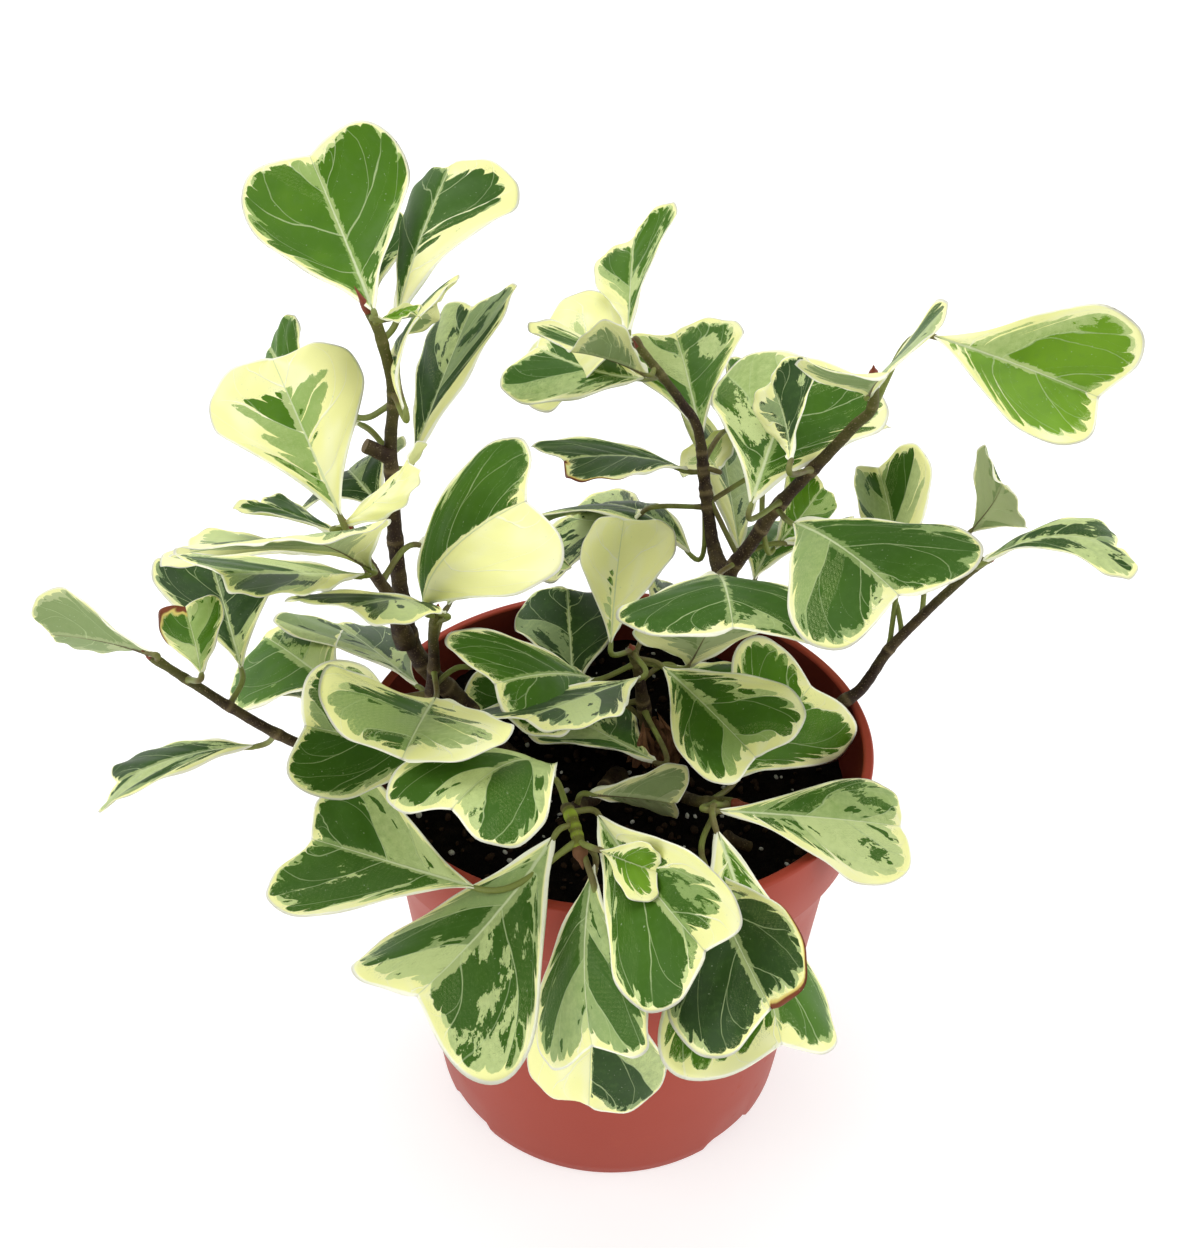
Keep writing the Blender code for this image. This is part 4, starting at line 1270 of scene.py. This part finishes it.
def scatter(name, count, seed, sizes, flatness, surface):
    """Small ragged lumps lying on the soil, joined into one piece."""
    chance = random.Random(seed)
    verts, faces = [], []
    for _ in range(count):
        radius = (soil_edge() - 0.003) * math.sqrt(chance.random())
        angle = chance.uniform(0, 2 * math.pi)
        x, y = radius * math.cos(angle), radius * math.sin(angle)
        size = chance.uniform(*sizes)
        shape = Matrix.Diagonal((size, size * chance.uniform(0.45, 0.9), size * chance.uniform(*flatness)))
        turn = Matrix.Rotation(chance.uniform(0, 6.3), 3, "Z")
        turn = turn @ Matrix.Rotation(chance.uniform(-0.6, 0.6), 3, "X")
        turn = turn @ Matrix.Rotation(chance.uniform(-0.6, 0.6), 3, "Y")
        center = Vector((x, y, soil_height(x, y) + size * 0.25))
        start = len(verts)
        for corner in CUBE_CORNERS:
            ragged = Vector(corner) * chance.uniform(0.6, 1.05)
            verts.append(center + turn @ (shape @ ragged))
        faces += [tuple(start + corner for corner in face) for face in CUBE_FACES]
    lumps = add_mesh(name, verts, faces, [surface])
    rounded = lumps.modifiers.new("round", "SUBSURF")
    rounded.levels = 1
    rounded.render_levels = 1
    ride(lumps, "soil", "soil")


def stub_piece(name, node, spec, bark, wood):
    """A cut side shoot: a short stub with a swollen foot and a pale cut face."""
    place, toward, length, radius = spec
    direction = Vector(toward).normalized()
    steps = range(STUB_STEPS + 1)
    points = [Vector(place) * MM + direction * length * MM * index / STUB_STEPS for index in steps]
    radii = [radius * MM * (1 + 0.35 * math.exp(-(index / 3) ** 2)) for index in steps]

    def bumps(index, angle):
        spot = points[index] * 700 + Vector((math.cos(angle), math.sin(angle), 0))
        return 0.12 * radii[index] * noise.noise(spot)

    rings = tube_rings(points, radii, STEM_SIDES, bumps)
    verts = [vertex for ring in rings for vertex in ring]
    faces = ring_faces(len(rings), STEM_SIDES)
    marks = [0] * len(faces)
    marks[-1] = 1
    piece = add_mesh(name, verts, faces, [bark, wood], marks)
    piece.data.set_sharp_from_angle(angle=math.radians(50))
    add_point_values(piece.data, "ring", [0] * len(verts))
    ride(piece, "bark", node)


def dry_scales(surface):
    """Papery brown leaves that have dried up round the foot of the middle stem."""
    chance = random.Random(DRY_SEED)
    shapes = []
    for index in range(DRY_COUNT):
        heading = DRY_HEADING + chance.uniform(-70, 70)
        base = (chance.uniform(6, 15), chance.uniform(-4, 5), chance.uniform(124, 137))
        length = chance.uniform(*DRY_LENGTH)
        shapes.append(leaf(0, base, heading, chance.uniform(-85, -35), chance.uniform(-50, 50), length,
                           length * 0.45, chance.choice(("hooked", "cupped", "folded")), (0, 0, 0, 0), 0, 0))
    leaf_spray("dry_scales", "centre_leaves", shapes, DRY_SEED, [surface, surface])


def dry_material():
    """Brown, papery dried leaves and bud scales."""
    shader = Shader("dry")
    place = shader.place()
    cloud = shader.noise(place, 260.0, 3.0, 0.6)
    fine = shader.noise(place, 1200.0, 3.0, 0.7)
    color = shader.mix(cloud, (0.045, 0.018, 0.008), (0.20, 0.085, 0.035))
    color = shader.mix(shader.times(fine, 0.4), color, (0.30, 0.16, 0.08))
    shader.bump(fine, 0.0003, 0.8)
    return shader.finish(color, 0.7, Specular_IOR_Level=0.15)


def add_lamp(name, turn, height, spread, power):
    """A broad lamp far off, at an angle round the plant and a height over the horizon."""
    light = bpy.data.lights.new(name, "SUN")
    light.angle = math.radians(spread)
    light.energy = power
    lamp = bpy.data.objects.new(name, light)
    around, up = math.radians(turn), math.radians(height)
    towards = Vector((math.cos(around) * math.cos(up), math.sin(around) * math.cos(up), math.sin(up)))
    lamp.rotation_euler = towards.to_track_quat("Z", "Y").to_euler()
    bpy.context.scene.collection.objects.link(lamp)


def build_stage():
    """A white floor, a surround that is brightest at the horizon, and three broad lamps."""
    half = FLOOR_HALF
    floor = add_mesh("floor", [(-half, -half, 0), (half, -half, 0), (half, half, 0), (-half, half, 0)],
                     [(0, 1, 2, 3)], [floor_material()])
    floor.location.z = -FLOOR_DROP
    world = bpy.data.worlds.new("surround")
    world.use_nodes = True
    tree = world.node_tree
    toward = tree.nodes.new("ShaderNodeTexCoord").outputs["Generated"]
    parts = tree.nodes.new("ShaderNodeSeparateXYZ")
    tree.links.new(toward, parts.inputs[0])
    fade = tree.nodes.new("ShaderNodeMapRange")
    tree.links.new(parts.outputs["Z"], fade.inputs["Value"])
    for name, value in (("From Min", 0.0), ("From Max", SKY_FADE), ("To Min", 1.0), ("To Max", SURROUND)):
        fade.inputs[name].default_value = value
    tree.links.new(fade.outputs[0], tree.nodes["Background"].inputs["Color"])
    bpy.context.scene.world = world
    for name, turn, height, spread, power in LAMPS:
        add_lamp(name, turn, height, spread, power)
    view = bpy.context.scene.view_settings
    view.view_transform = "Standard"
    view.look = "None"


def build_camera():
    data = bpy.data.cameras.new("camera")
    data.sensor_fit = "HORIZONTAL"
    data.sensor_width = CAMERA_SENSOR
    data.lens = CAMERA_LENS
    data.clip_start = 0.01
    camera = bpy.data.objects.new("camera", data)
    turn = Matrix.Rotation(math.radians(CAMERA_HEADING), 4, "Z")
    turn = turn @ Matrix.Rotation(math.radians(90 + CAMERA_PITCH), 4, "X")
    turn = turn @ Matrix.Rotation(math.radians(CAMERA_ROLL), 4, "Z")
    camera.matrix_world = Matrix.Translation(CAMERA_PLACE) @ turn
    bpy.context.scene.collection.objects.link(camera)
    bpy.context.scene.camera = camera


def wood_material():
    """The pale wood of a cut face."""
    shader = Shader("cut_wood")
    fine = shader.noise(shader.place(), 1500.0, 2.0, 0.6)
    color = shader.mix(fine, (0.13, 0.085, 0.045), (0.26, 0.19, 0.11))
    shader.bump(fine, 0.0002, 0.5)
    return shader.finish(color, 0.8)


def main():
    build_camera()
    build_stage()
    materials = {
        "leaf": leaf_material("leaf", False),
        "leaf_under": leaf_material("leaf_under", True),
        "bark": bark_material(),
        "stalk": stalk_material(),
        "bud": bud_material(),
        "dry": dry_material(),
    }
    pot_piece(plastic_material("plastic", *TERRACOTTA), plastic_material("plastic_inside_painted_shade", *PAINTED_INSIDE_SHADE))
    soil_piece(soil_material())
    scatter("bark_chips", CHIP_COUNT, 5, (0.0008, 0.0024), (0.3, 0.7), chip_material())
    scatter("perlite_grains", GRIT_COUNT, 6, (0.0005, 0.0016), (0.6, 1.0), grit_material())
    build_plant(materials)
    dry_scales(materials["dry"])
    wood = wood_material()
    for name, node, spec in STUBS:
        stub_piece(name, node, spec, materials["bark"], wood)


main()
